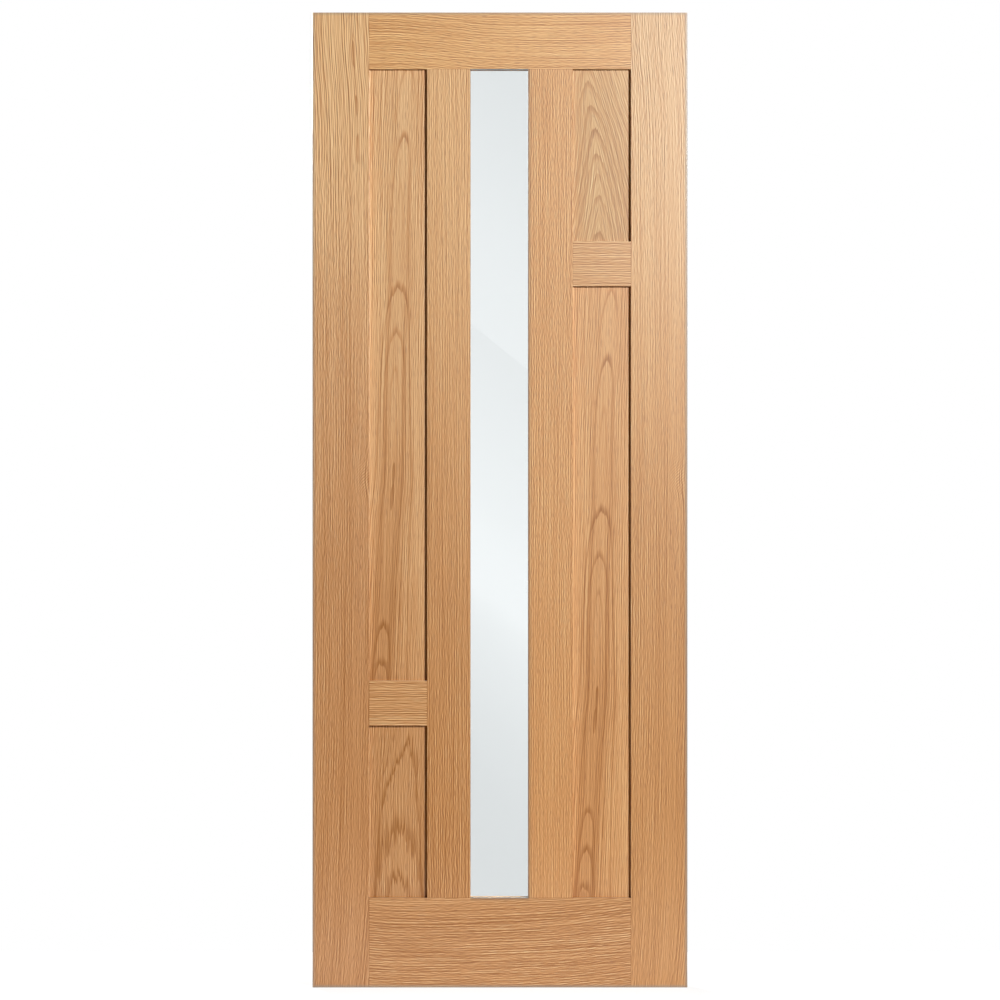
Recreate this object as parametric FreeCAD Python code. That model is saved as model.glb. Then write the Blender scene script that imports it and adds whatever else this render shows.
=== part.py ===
"""Oak veneered door leaf with one tall glazed strip between four flat panels.

X runs across the leaf from its hinge edge, Y through its thickness with the front face at minus Y,
and Z up from its foot. The origin is on the hinge edge, at the foot, halfway through the thickness.
All sizes are in millimetres.
"""

import FreeCAD, Part
import os

# The leaf
LEAF_WIDTH = 762.0
LEAF_HEIGHT = 1981.0
LEAF_THICKNESS = 44.0
OUTER_ARRIS = 1.5

# Framing members, as wide or high as they show on the face
STILE_WIDTH = 115.0
LIPPING_THICKNESS = 8.0
TOP_RAIL_HEIGHT = 115.0
BOTTOM_RAIL_HEIGHT = 182.0
LEFT_MUNTIN_WIDTH = 88.0
RIGHT_MUNTIN_WIDTH = 91.0
CROSS_RAIL_HEIGHT = 91.0
SIGHT_ARRIS = 0.5

# Flat panels and the grooves that hold them
SHORT_PANEL_HEIGHT = 350.0
PANEL_THICKNESS = 18.0
GROOVE_DEPTH = 12.0
PANEL_EDGE_GAP = 1.5

# Sealed glass unit in its rebate
GLASS_WIDTH = 117.0
REBATE_COVER = 14.0
FRONT_LIP = 6.0
GLASS_EDGE_GAP = 2.0
PANE_THICKNESS = 4.0
CAVITY_DEPTH = 14.0
SPACER_HEIGHT = 7.0
SPACER_INSET = 3.5
TAPE_THICKNESS = 1.5
TAPE_WIDTH = 9.0
TAPE_SETBACK = 1.5
BEAD_ROUND = 4.0


def widened(limits, amount):
    """A pair of limits moved outwards by an amount at both ends."""
    return (limits[0] - amount, limits[1] + amount)


# Depths through the leaf
FRONT_FACE = -LEAF_THICKNESS / 2
BACK_FACE = LEAF_THICKNESS / 2
PANEL_FRONT = -PANEL_THICKNESS / 2
PANEL_BACK = PANEL_THICKNESS / 2
LIP_BACK = FRONT_FACE + FRONT_LIP
FRONT_PANE = (LIP_BACK + TAPE_THICKNESS, LIP_BACK + TAPE_THICKNESS + PANE_THICKNESS)
BACK_PANE = (FRONT_PANE[1] + CAVITY_DEPTH, FRONT_PANE[1] + CAVITY_DEPTH + PANE_THICKNESS)
BEAD_FRONT = BACK_PANE[1] + TAPE_THICKNESS

# Places across the leaf, from the hinge edge
FAR_STILE = LEAF_WIDTH - STILE_WIDTH
FAR_LIPPING = LEAF_WIDTH - LIPPING_THICKNESS
BETWEEN_STILES = (STILE_WIDTH, FAR_STILE)
STRIP_WIDTH = LEFT_MUNTIN_WIDTH + GLASS_WIDTH + RIGHT_MUNTIN_WIDTH
COLUMN_WIDTH = (FAR_STILE - STILE_WIDTH - STRIP_WIDTH) / 2
LEFT_COLUMN = (STILE_WIDTH, STILE_WIDTH + COLUMN_WIDTH)
RIGHT_COLUMN = (FAR_STILE - COLUMN_WIDTH, FAR_STILE)
GLASS_COLUMN = (LEFT_COLUMN[1] + LEFT_MUNTIN_WIDTH, RIGHT_COLUMN[0] - RIGHT_MUNTIN_WIDTH)
REBATE_ACROSS = widened(GLASS_COLUMN, REBATE_COVER)

# Heights, from the foot
FULL_HEIGHT = (0.0, LEAF_HEIGHT)
DAYLIGHT = (BOTTOM_RAIL_HEIGHT, LEAF_HEIGHT - TOP_RAIL_HEIGHT)
LEFT_LOWER = (DAYLIGHT[0], DAYLIGHT[0] + SHORT_PANEL_HEIGHT)
LEFT_CROSS = (LEFT_LOWER[1], LEFT_LOWER[1] + CROSS_RAIL_HEIGHT)
LEFT_UPPER = (LEFT_CROSS[1], DAYLIGHT[1])
RIGHT_UPPER = (DAYLIGHT[1] - SHORT_PANEL_HEIGHT, DAYLIGHT[1])
RIGHT_CROSS = (RIGHT_UPPER[0] - CROSS_RAIL_HEIGHT, RIGHT_UPPER[0])
RIGHT_LOWER = (DAYLIGHT[0], RIGHT_CROSS[0])
REBATE_UP = widened(DAYLIGHT, REBATE_COVER)


def block(across, through, up):
    """A square-cornered block between pairs of X, Y and Z limits."""
    corner = FreeCAD.Vector(across[0], through[0], up[0])
    return Part.makeBox(across[1] - across[0], through[1] - through[0], up[1] - up[0], corner)


def rectangle(across, up, depth):
    """A closed rectangular outline that stands upright at one depth."""
    corners = [
        FreeCAD.Vector(across[0], depth, up[0]),
        FreeCAD.Vector(across[1], depth, up[0]),
        FreeCAD.Vector(across[1], depth, up[1]),
        FreeCAD.Vector(across[0], depth, up[1]),
    ]
    return Part.makePolygon(corners + corners[:1])


def ring(outer_bite, inner_bite, through):
    """A rectangular ring around the glass, between two distances behind the edge of its daylight."""
    outlines = []
    for bite in (outer_bite, inner_bite):
        outlines.append(rectangle(widened(GLASS_COLUMN, bite), widened(DAYLIGHT, bite), through[0]))
    face = Part.makeFace(outlines, "Part::FaceMakerBullseye")
    return face.extrude(FreeCAD.Vector(0, through[1] - through[0], 0))


def plain_edge(edge):
    """The depths and places of a square edge of a member, from front to back."""
    return [(FRONT_FACE, edge), (BACK_FACE, edge)]


def grooved_edge(edge, inward):
    """The depths and places of an edge with a panel groove, from front to back."""
    bottom = edge + inward * GROOVE_DEPTH
    return [
        (FRONT_FACE, edge),
        (PANEL_FRONT, edge),
        (PANEL_FRONT, bottom),
        (PANEL_BACK, bottom),
        (PANEL_BACK, edge),
        (BACK_FACE, edge),
    ]


def rebated_edge(edge, inward):
    """The depths and places of an edge with a lip in front of the glass, from front to back."""
    bottom = edge + inward * REBATE_COVER
    return [(FRONT_FACE, edge), (LIP_BACK, edge), (LIP_BACK, bottom), (BACK_FACE, bottom)]


def upright(left_edge, right_edge, up):
    """A standing member: the section between two edges, run from one height to another."""
    corners = [FreeCAD.Vector(place, depth, up[0]) for depth, place in left_edge + right_edge[::-1]]
    section = Part.Face(Part.makePolygon(corners + corners[:1]))
    return section.extrude(FreeCAD.Vector(0, 0, up[1] - up[0]))


def level(lower_edge, upper_edge, across):
    """A lying member: the section between two edges, run from one side to another."""
    corners = [FreeCAD.Vector(across[0], depth, place) for depth, place in lower_edge + upper_edge[::-1]]
    section = Part.Face(Part.makePolygon(corners + corners[:1]))
    return section.extrude(FreeCAD.Vector(across[1] - across[0], 0, 0))


def tongue(across, up):
    """A tenon or panel, as thick as the groove is wide."""
    return block(across, (PANEL_FRONT, PANEL_BACK), up)


def eased_mouth(across, up, face, inward):
    """The wedge-sided space that takes the arris off the four edges around an opening."""
    arris = SIGHT_ARRIS
    outer = rectangle(widened(across, 2 * arris), widened(up, 2 * arris), face - inward * arris)
    inner = rectangle(widened(across, -arris), widened(up, -arris), face + inward * 2 * arris)
    return Part.makeLoft([outer, inner], True)


def panel_mouths(column, *heights):
    """The eased edges of the panel openings in a column, on the front and on the back."""
    mouths = []
    for up in heights:
        mouths.append(eased_mouth(column, up, FRONT_FACE, 1))
        mouths.append(eased_mouth(column, up, BACK_FACE, -1))
    return mouths


LEFT_MOUTHS = panel_mouths(LEFT_COLUMN, LEFT_LOWER, LEFT_UPPER)
RIGHT_MOUTHS = panel_mouths(RIGHT_COLUMN, RIGHT_LOWER, RIGHT_UPPER)
GLASS_MOUTH = eased_mouth(GLASS_COLUMN, DAYLIGHT, FRONT_FACE, 1)


def lipping(across, outer_edge):
    """A strip of solid oak along a stile, with its two outer arrises eased."""
    strip = block(across, (FRONT_FACE, BACK_FACE), FULL_HEIGHT)
    arrises = []
    for edge in strip.Edges:
        upright_edge = edge.BoundBox.ZLength > LEAF_HEIGHT / 2
        if upright_edge and abs(edge.BoundBox.XMin - outer_edge) < OUTER_ARRIS:
            arrises.append(edge)
    return strip.makeFillet(OUTER_ARRIS, arrises)


def left_stile():
    """The hinge-side upright, grooved along its inner edge."""
    stick = upright(plain_edge(LIPPING_THICKNESS), grooved_edge(STILE_WIDTH, -1), FULL_HEIGHT)
    return stick.cut(LEFT_MOUTHS)


def right_stile():
    """The lock-side upright, grooved along its inner edge."""
    stick = upright(grooved_edge(FAR_STILE, 1), plain_edge(FAR_LIPPING), FULL_HEIGHT)
    return stick.cut(RIGHT_MOUTHS)


def end_rail(stick, tenon_up):
    """The top or bottom rail: tenoned into both stiles and rebated behind the glass."""
    tenon = tongue(widened(BETWEEN_STILES, GROOVE_DEPTH), tenon_up)
    rebate = block(REBATE_ACROSS, (LIP_BACK, BACK_FACE + SIGHT_ARRIS), REBATE_UP)
    cuts = [rebate, GLASS_MOUTH] + LEFT_MOUTHS + RIGHT_MOUTHS
    return stick.fuse(tenon).cut(cuts).removeSplitter()


def top_rail():
    """The top rail, grooved along its lower edge."""
    stick = level(grooved_edge(DAYLIGHT[1], 1), plain_edge(LEAF_HEIGHT), BETWEEN_STILES)
    return end_rail(stick, (DAYLIGHT[1] + GROOVE_DEPTH, LEAF_HEIGHT))


def bottom_rail():
    """The taller bottom rail, grooved along its upper edge."""
    stick = level(plain_edge(0), grooved_edge(DAYLIGHT[0], -1), BETWEEN_STILES)
    return end_rail(stick, (0, DAYLIGHT[0] - GROOVE_DEPTH))


def cross_rail(column, up, mouths):
    """A short rail from a stile to a muntin, grooved above and below and tenoned at both ends."""
    stick = level(grooved_edge(up[0], 1), grooved_edge(up[1], -1), column)
    tenon = tongue(widened(column, GROOVE_DEPTH), widened(up, -GROOVE_DEPTH))
    return stick.fuse(tenon).cut(mouths).removeSplitter()


def muntin(stick, tenon_across, mouths):
    """An upright beside the glass, tenoned into the top and bottom rails."""
    tenon = tongue(tenon_across, widened(DAYLIGHT, GROOVE_DEPTH))
    return stick.fuse(tenon).cut(mouths + [GLASS_MOUTH]).removeSplitter()


def left_muntin():
    """The muntin on the hinge side of the glass."""
    edge = LEFT_COLUMN[1]
    stick = upright(grooved_edge(edge, 1), rebated_edge(GLASS_COLUMN[0], -1), DAYLIGHT)
    return muntin(stick, (edge + GROOVE_DEPTH, REBATE_ACROSS[0]), LEFT_MOUTHS)


def right_muntin():
    """The muntin on the lock side of the glass."""
    edge = RIGHT_COLUMN[0]
    stick = upright(rebated_edge(GLASS_COLUMN[1], 1), grooved_edge(edge, -1), DAYLIGHT)
    return muntin(stick, (REBATE_ACROSS[1], edge - GROOVE_DEPTH), RIGHT_MOUTHS)


def panel(column, up):
    """A flat panel that reaches into the grooves on all four sides."""
    bite = GROOVE_DEPTH - PANEL_EDGE_GAP
    return tongue(widened(column, bite), widened(up, bite))


def pane(through):
    """One pane of the sealed unit."""
    bite = REBATE_COVER - GLASS_EDGE_GAP
    return block(widened(GLASS_COLUMN, bite), through, widened(DAYLIGHT, bite))


def spacer_bar():
    """The bar around the cavity that holds the two panes apart."""
    outer = REBATE_COVER - GLASS_EDGE_GAP - SPACER_INSET
    return ring(outer, outer - SPACER_HEIGHT, (FRONT_PANE[1], BACK_PANE[0]))


def glazing_tape(through):
    """A tape around the unit, set a little behind the edge of the daylight."""
    return ring(TAPE_SETBACK + TAPE_WIDTH, TAPE_SETBACK, through)


def bead(length):
    """A glazing bead along X with mitred ends, its seat on Z = 0 and its round towards the back."""
    turn = BEAD_ROUND * (1 - 0.5 ** 0.5)
    seat_front = FreeCAD.Vector(0, BEAD_FRONT, 0)
    crest_front = FreeCAD.Vector(0, BEAD_FRONT, REBATE_COVER)
    round_start = FreeCAD.Vector(0, BACK_FACE - BEAD_ROUND, REBATE_COVER)
    round_middle = FreeCAD.Vector(0, BACK_FACE - turn, REBATE_COVER - turn)
    round_end = FreeCAD.Vector(0, BACK_FACE, REBATE_COVER - BEAD_ROUND)
    seat_back = FreeCAD.Vector(0, BACK_FACE, 0)
    section = Part.Face(Part.Wire([
        Part.makeLine(seat_front, crest_front),
        Part.makeLine(crest_front, round_start),
        Part.Arc(round_start, round_middle, round_end).toShape(),
        Part.makeLine(round_end, seat_back),
        Part.makeLine(seat_back, seat_front),
    ]))
    stick = section.extrude(FreeCAD.Vector(length, 0, 0))
    mitred = Part.Face(Part.makePolygon([
        FreeCAD.Vector(0, BEAD_FRONT, 0),
        FreeCAD.Vector(length, BEAD_FRONT, 0),
        FreeCAD.Vector(length - REBATE_COVER, BEAD_FRONT, REBATE_COVER),
        FreeCAD.Vector(REBATE_COVER, BEAD_FRONT, REBATE_COVER),
        FreeCAD.Vector(0, BEAD_FRONT, 0),
    ]))
    return stick.common(mitred.extrude(FreeCAD.Vector(0, BACK_FACE - BEAD_FRONT, 0)))


def placed_bead(length, corner_x, corner_z, turn):
    """A bead turned about Y and set with its starting corner in a corner of the rebate."""
    shape = bead(length)
    corner = FreeCAD.Vector(corner_x, 0, corner_z)
    shape.Placement = FreeCAD.Placement(corner, FreeCAD.Rotation(FreeCAD.Vector(0, 1, 0), turn))
    return shape


REBATE_WIDTH = REBATE_ACROSS[1] - REBATE_ACROSS[0]
REBATE_HEIGHT = REBATE_UP[1] - REBATE_UP[0]

PIECES = {
    "left_lipping": lipping((0, LIPPING_THICKNESS), 0),
    "right_lipping": lipping((FAR_LIPPING, LEAF_WIDTH), LEAF_WIDTH),
    "left_stile": left_stile(),
    "right_stile": right_stile(),
    "top_rail": top_rail(),
    "bottom_rail": bottom_rail(),
    "left_muntin": left_muntin(),
    "right_muntin": right_muntin(),
    "left_cross_rail": cross_rail(LEFT_COLUMN, LEFT_CROSS, LEFT_MOUTHS),
    "right_cross_rail": cross_rail(RIGHT_COLUMN, RIGHT_CROSS, RIGHT_MOUTHS),
    "upper_left_panel": panel(LEFT_COLUMN, LEFT_UPPER),
    "lower_left_panel": panel(LEFT_COLUMN, LEFT_LOWER),
    "upper_right_panel": panel(RIGHT_COLUMN, RIGHT_UPPER),
    "lower_right_panel": panel(RIGHT_COLUMN, RIGHT_LOWER),
    "front_pane": pane(FRONT_PANE),
    "back_pane": pane(BACK_PANE),
    "spacer_bar": spacer_bar(),
    "front_glazing_tape": glazing_tape((LIP_BACK, FRONT_PANE[0])),
    "back_glazing_tape": glazing_tape((BACK_PANE[1], BEAD_FRONT)),
    "left_bead": placed_bead(REBATE_HEIGHT, REBATE_ACROSS[0], REBATE_UP[1], 90),
    "right_bead": placed_bead(REBATE_HEIGHT, REBATE_ACROSS[1], REBATE_UP[0], -90),
    "bottom_bead": placed_bead(REBATE_WIDTH, REBATE_ACROSS[0], REBATE_UP[0], 0),
    "top_bead": placed_bead(REBATE_WIDTH, REBATE_ACROSS[1], REBATE_UP[1], 180),
}

os.makedirs("parts", exist_ok=True)
for node, shape in PIECES.items():
    shape.exportStep("parts/" + node + ".step")
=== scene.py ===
"""Looks of an oak door leaf with one tall glazed strip between two columns of flat panels.

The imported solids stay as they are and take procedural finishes. Pins in the glazing beads and the
slots of the spacer bar are added to them. X runs across the leaf, the front face looks to minus Y and
Z is up, in metres.
"""

import math
from dataclasses import dataclass, replace

import bpy
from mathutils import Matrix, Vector


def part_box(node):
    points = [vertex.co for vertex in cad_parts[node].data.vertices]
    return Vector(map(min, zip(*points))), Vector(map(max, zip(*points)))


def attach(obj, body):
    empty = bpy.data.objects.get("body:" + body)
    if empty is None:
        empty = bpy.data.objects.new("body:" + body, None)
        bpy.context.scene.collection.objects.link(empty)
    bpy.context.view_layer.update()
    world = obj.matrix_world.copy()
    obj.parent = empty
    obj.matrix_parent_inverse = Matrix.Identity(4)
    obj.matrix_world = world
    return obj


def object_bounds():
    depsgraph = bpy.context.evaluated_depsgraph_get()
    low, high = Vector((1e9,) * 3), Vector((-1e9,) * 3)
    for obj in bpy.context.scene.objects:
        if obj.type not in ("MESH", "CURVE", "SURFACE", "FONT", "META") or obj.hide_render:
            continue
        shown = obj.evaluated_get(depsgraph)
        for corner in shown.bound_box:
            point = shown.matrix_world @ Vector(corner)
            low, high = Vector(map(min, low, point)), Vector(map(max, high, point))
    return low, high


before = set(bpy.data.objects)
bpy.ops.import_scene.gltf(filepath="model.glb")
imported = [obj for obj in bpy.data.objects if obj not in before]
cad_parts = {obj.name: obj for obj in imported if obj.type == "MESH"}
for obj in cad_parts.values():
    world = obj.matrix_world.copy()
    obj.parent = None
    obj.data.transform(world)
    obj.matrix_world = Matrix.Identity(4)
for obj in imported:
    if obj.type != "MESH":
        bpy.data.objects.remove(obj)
CAD_BOX = [list(corner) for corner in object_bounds()]

bl_info = {
    "name": "Oak Glazed Door Leaf",
    "version": (1, 0, 0),
    "blender": (4, 5, 0),
    "location": "View3D > Sidebar > Door",
    "description": "Finishes an oak door leaf and sets it on a pale stage",
    "category": "Object",
}

LEAF_LOW = Vector(CAD_BOX[0])
LEAF_HIGH = Vector(CAD_BOX[1])
LEAF_MIDDLE = (LEAF_LOW + LEAF_HIGH) / 2

FRAMING = (
    "left_stile",
    "right_stile",
    "top_rail",
    "bottom_rail",
    "left_muntin",
    "right_muntin",
    "left_cross_rail",
    "right_cross_rail",
)
PANELS = ("upper_left_panel", "lower_left_panel", "upper_right_panel", "lower_right_panel")
BEADS = ("left_bead", "right_bead", "top_bead", "bottom_bead")
# A lipping shows the figure of the stile that it edges, because the face veneer runs over both
VENEERED_WITH = {"left_lipping": "left_stile", "right_lipping": "right_stile"}
# What the ends of a member stand against: left and right of a lying one, above and below an upright
SHOULDERS = {
    "top_rail": ("left_stile", "right_stile"),
    "bottom_rail": ("left_stile", "right_stile"),
    "left_cross_rail": ("left_stile", "left_muntin"),
    "right_cross_rail": ("right_muntin", "right_stile"),
    "left_muntin": ("top_rail", "bottom_rail"),
    "right_muntin": ("top_rail", "bottom_rail"),
}

# The fade of a smear, which is dark all over
FILLED = 1.0e5
# How much lower the figure lies in the right-hand long panel, cut from the next leaf of veneer
NEXT_LEAF_SHIFT = 0.014


@dataclass(frozen=True)
class Arch:
    """One dark arch in the figure of a board, open below or closed like an oval.

    Its tip lies on the heart line, so far along the board. Its legs come to their width within the
    shoulder and go on spreading by a slope. The line fades on its outer side, or on its inner one,
    and the reach is how much further it fades at the tip than on the legs.
    """

    tip: float
    half_width: float
    shoulder: float
    spread: float = 0.0
    length: float = 9.0
    strength: float = 0.3
    fade: float = 0.003
    reach: float = 4.0
    inward: bool = False


def smear(tip, half_width, shoulder, length, strength):
    """A short dark oval on the heart line, filled all over."""
    return Arch(tip, half_width, shoulder, length=length, strength=strength, fade=FILLED, inward=True)


def crown_arch(tip, half_width, shoulder, spread, strength, fade=0.008, reach=3.0):
    """One of the nested arches of a crown-cut board, which fade on their inner side."""
    return Arch(tip, half_width, shoulder, spread, strength=strength, fade=fade, reach=reach, inward=True)


@dataclass(frozen=True)
class Figure:
    """How one piece of oak was cut: where the heart of the tree lies under its face, and how dark it is.

    Courses are pairs of a distance along the piece and a value there. Uprights are measured from their
    top and lying pieces from their left end. The heart's offset is across the piece, from its middle.
    The taper is the count of rings that the trunk loses along the piece. The fine streaks follow the
    heart line by a share, and lean away from it by a slope on both sides. The stretch is how far the
    grain has run at each distance, so a steep one makes short streaks, and wide is the weight of the
    wide ones. The tone deepens the colour, the cast multiplies it, and the drift does so more and more
    down the board. The swirl is the place of a knot across and along, and how far it lifts the rings.
    """

    seed: float
    heart_offset: tuple = ((0.0, 0.0),)
    heart_rings: tuple = ((0.0, 14.0),)
    heart_tone: tuple = ((0.0, 0.0),)
    taper: tuple = ((0.0, 0.0),)
    tone: tuple = ((0.0, 0.0),)
    streaks: tuple = ((0.0, 1.0),)
    contrast: float = 1.0
    ring_width: float = 0.0046
    sway: float = 0.0020
    ragged: float = 0.0007
    follow: float = 1.0
    lean: float = 0.0
    jag: float = 0.011
    lying: bool = False
    cast: tuple = (1.0, 1.0, 1.0)
    drift: tuple = ()
    stretch: tuple = ((0.0, 0.0), (2.0, 2.0))
    wide: float = 0.35
    arches: tuple = ()
    swirl: tuple = (0.0, 0.0, 0.0)


LONG_PANEL = Figure(
    seed=3.1,
    heart_offset=(
        (0.0, 0.0215),
        (0.147, 0.0122),
        (0.338, 0.0020),
        (0.454, 0.0010),
        (0.545, -0.0040),
        (0.704, -0.0080),
        (0.826, -0.0092),
        (0.897, -0.0142),
        (0.968, -0.0203),
        (1.144, -0.0305),
        (1.266, -0.0366),
    ),
    heart_rings=((0.0, 9.5), (0.6, 8.0), (1.266, 7.0)),
    heart_tone=((0.0, 0.03), (0.45, 0.09), (0.70, 0.14), (0.86, 0.26), (1.266, 0.22)),
    ring_width=0.0036,
    sway=0.0014,
    follow=0.3,
    streaks=((0.0, 1.55), (0.3, 1.25), (0.7, 0.8), (1.266, 0.7)),
    wide=0.8,
    arches=(
        Arch(0.006, 0.020, 0.044, strength=0.34, fade=0.004),
        Arch(0.147, 0.0155, 0.030, strength=0.50, fade=0.005),
        Arch(0.250, 0.006, 0.050, spread=0.02, strength=0.20, fade=0.004),
        Arch(0.454, 0.021, 0.026, spread=0.04, strength=0.50, fade=0.005),
        Arch(0.545, 0.018, 0.032, spread=0.02, strength=0.38, fade=0.0045),
        Arch(0.620, 0.011, 0.054, strength=0.22, fade=0.004),
        smear(0.812, 0.0036, 0.014, 0.044, 0.42),
        smear(0.855, 0.0042, 0.014, 0.050, 0.42),
        Arch(1.143, 0.012, 0.016, spread=0.05, strength=0.42, fade=0.005),
        Arch(1.218, 0.012, 0.013, spread=0.05, strength=0.36, fade=0.005),
    ),
)

STILE = Figure(
    seed=11.7,
    heart_offset=(
        (0.0, 0.018),
        (0.085, 0.0215),
        (0.19, 0.0285),
        (0.275, 0.0305),
        (0.9, 0.034),
        (1.981, 0.010),
    ),
    heart_rings=((0.0, 6.3), (0.2, 6.0), (0.45, 5.7), (0.8, 5.0), (1.3, 5.2), (1.981, 8.0)),
    swirl=(0.042, 0.945, 0.006),
    sway=0.0026,
    contrast=0.6,
    ring_width=0.0038,
)

MUNTIN = Figure(seed=17.3, sway=0.0016, contrast=0.5)

RAIL = Figure(
    seed=31.1,
    ring_width=0.0042,
    lying=True,
    follow=0.5,
    wide=0.6,
    stretch=((0.0, 0.0), (2.0, 2.8)),
    streaks=((0.0, 1.25),),
)

CROSS_RAIL = Figure(seed=41.3, ring_width=0.0040, sway=0.0016, lying=True)

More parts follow.
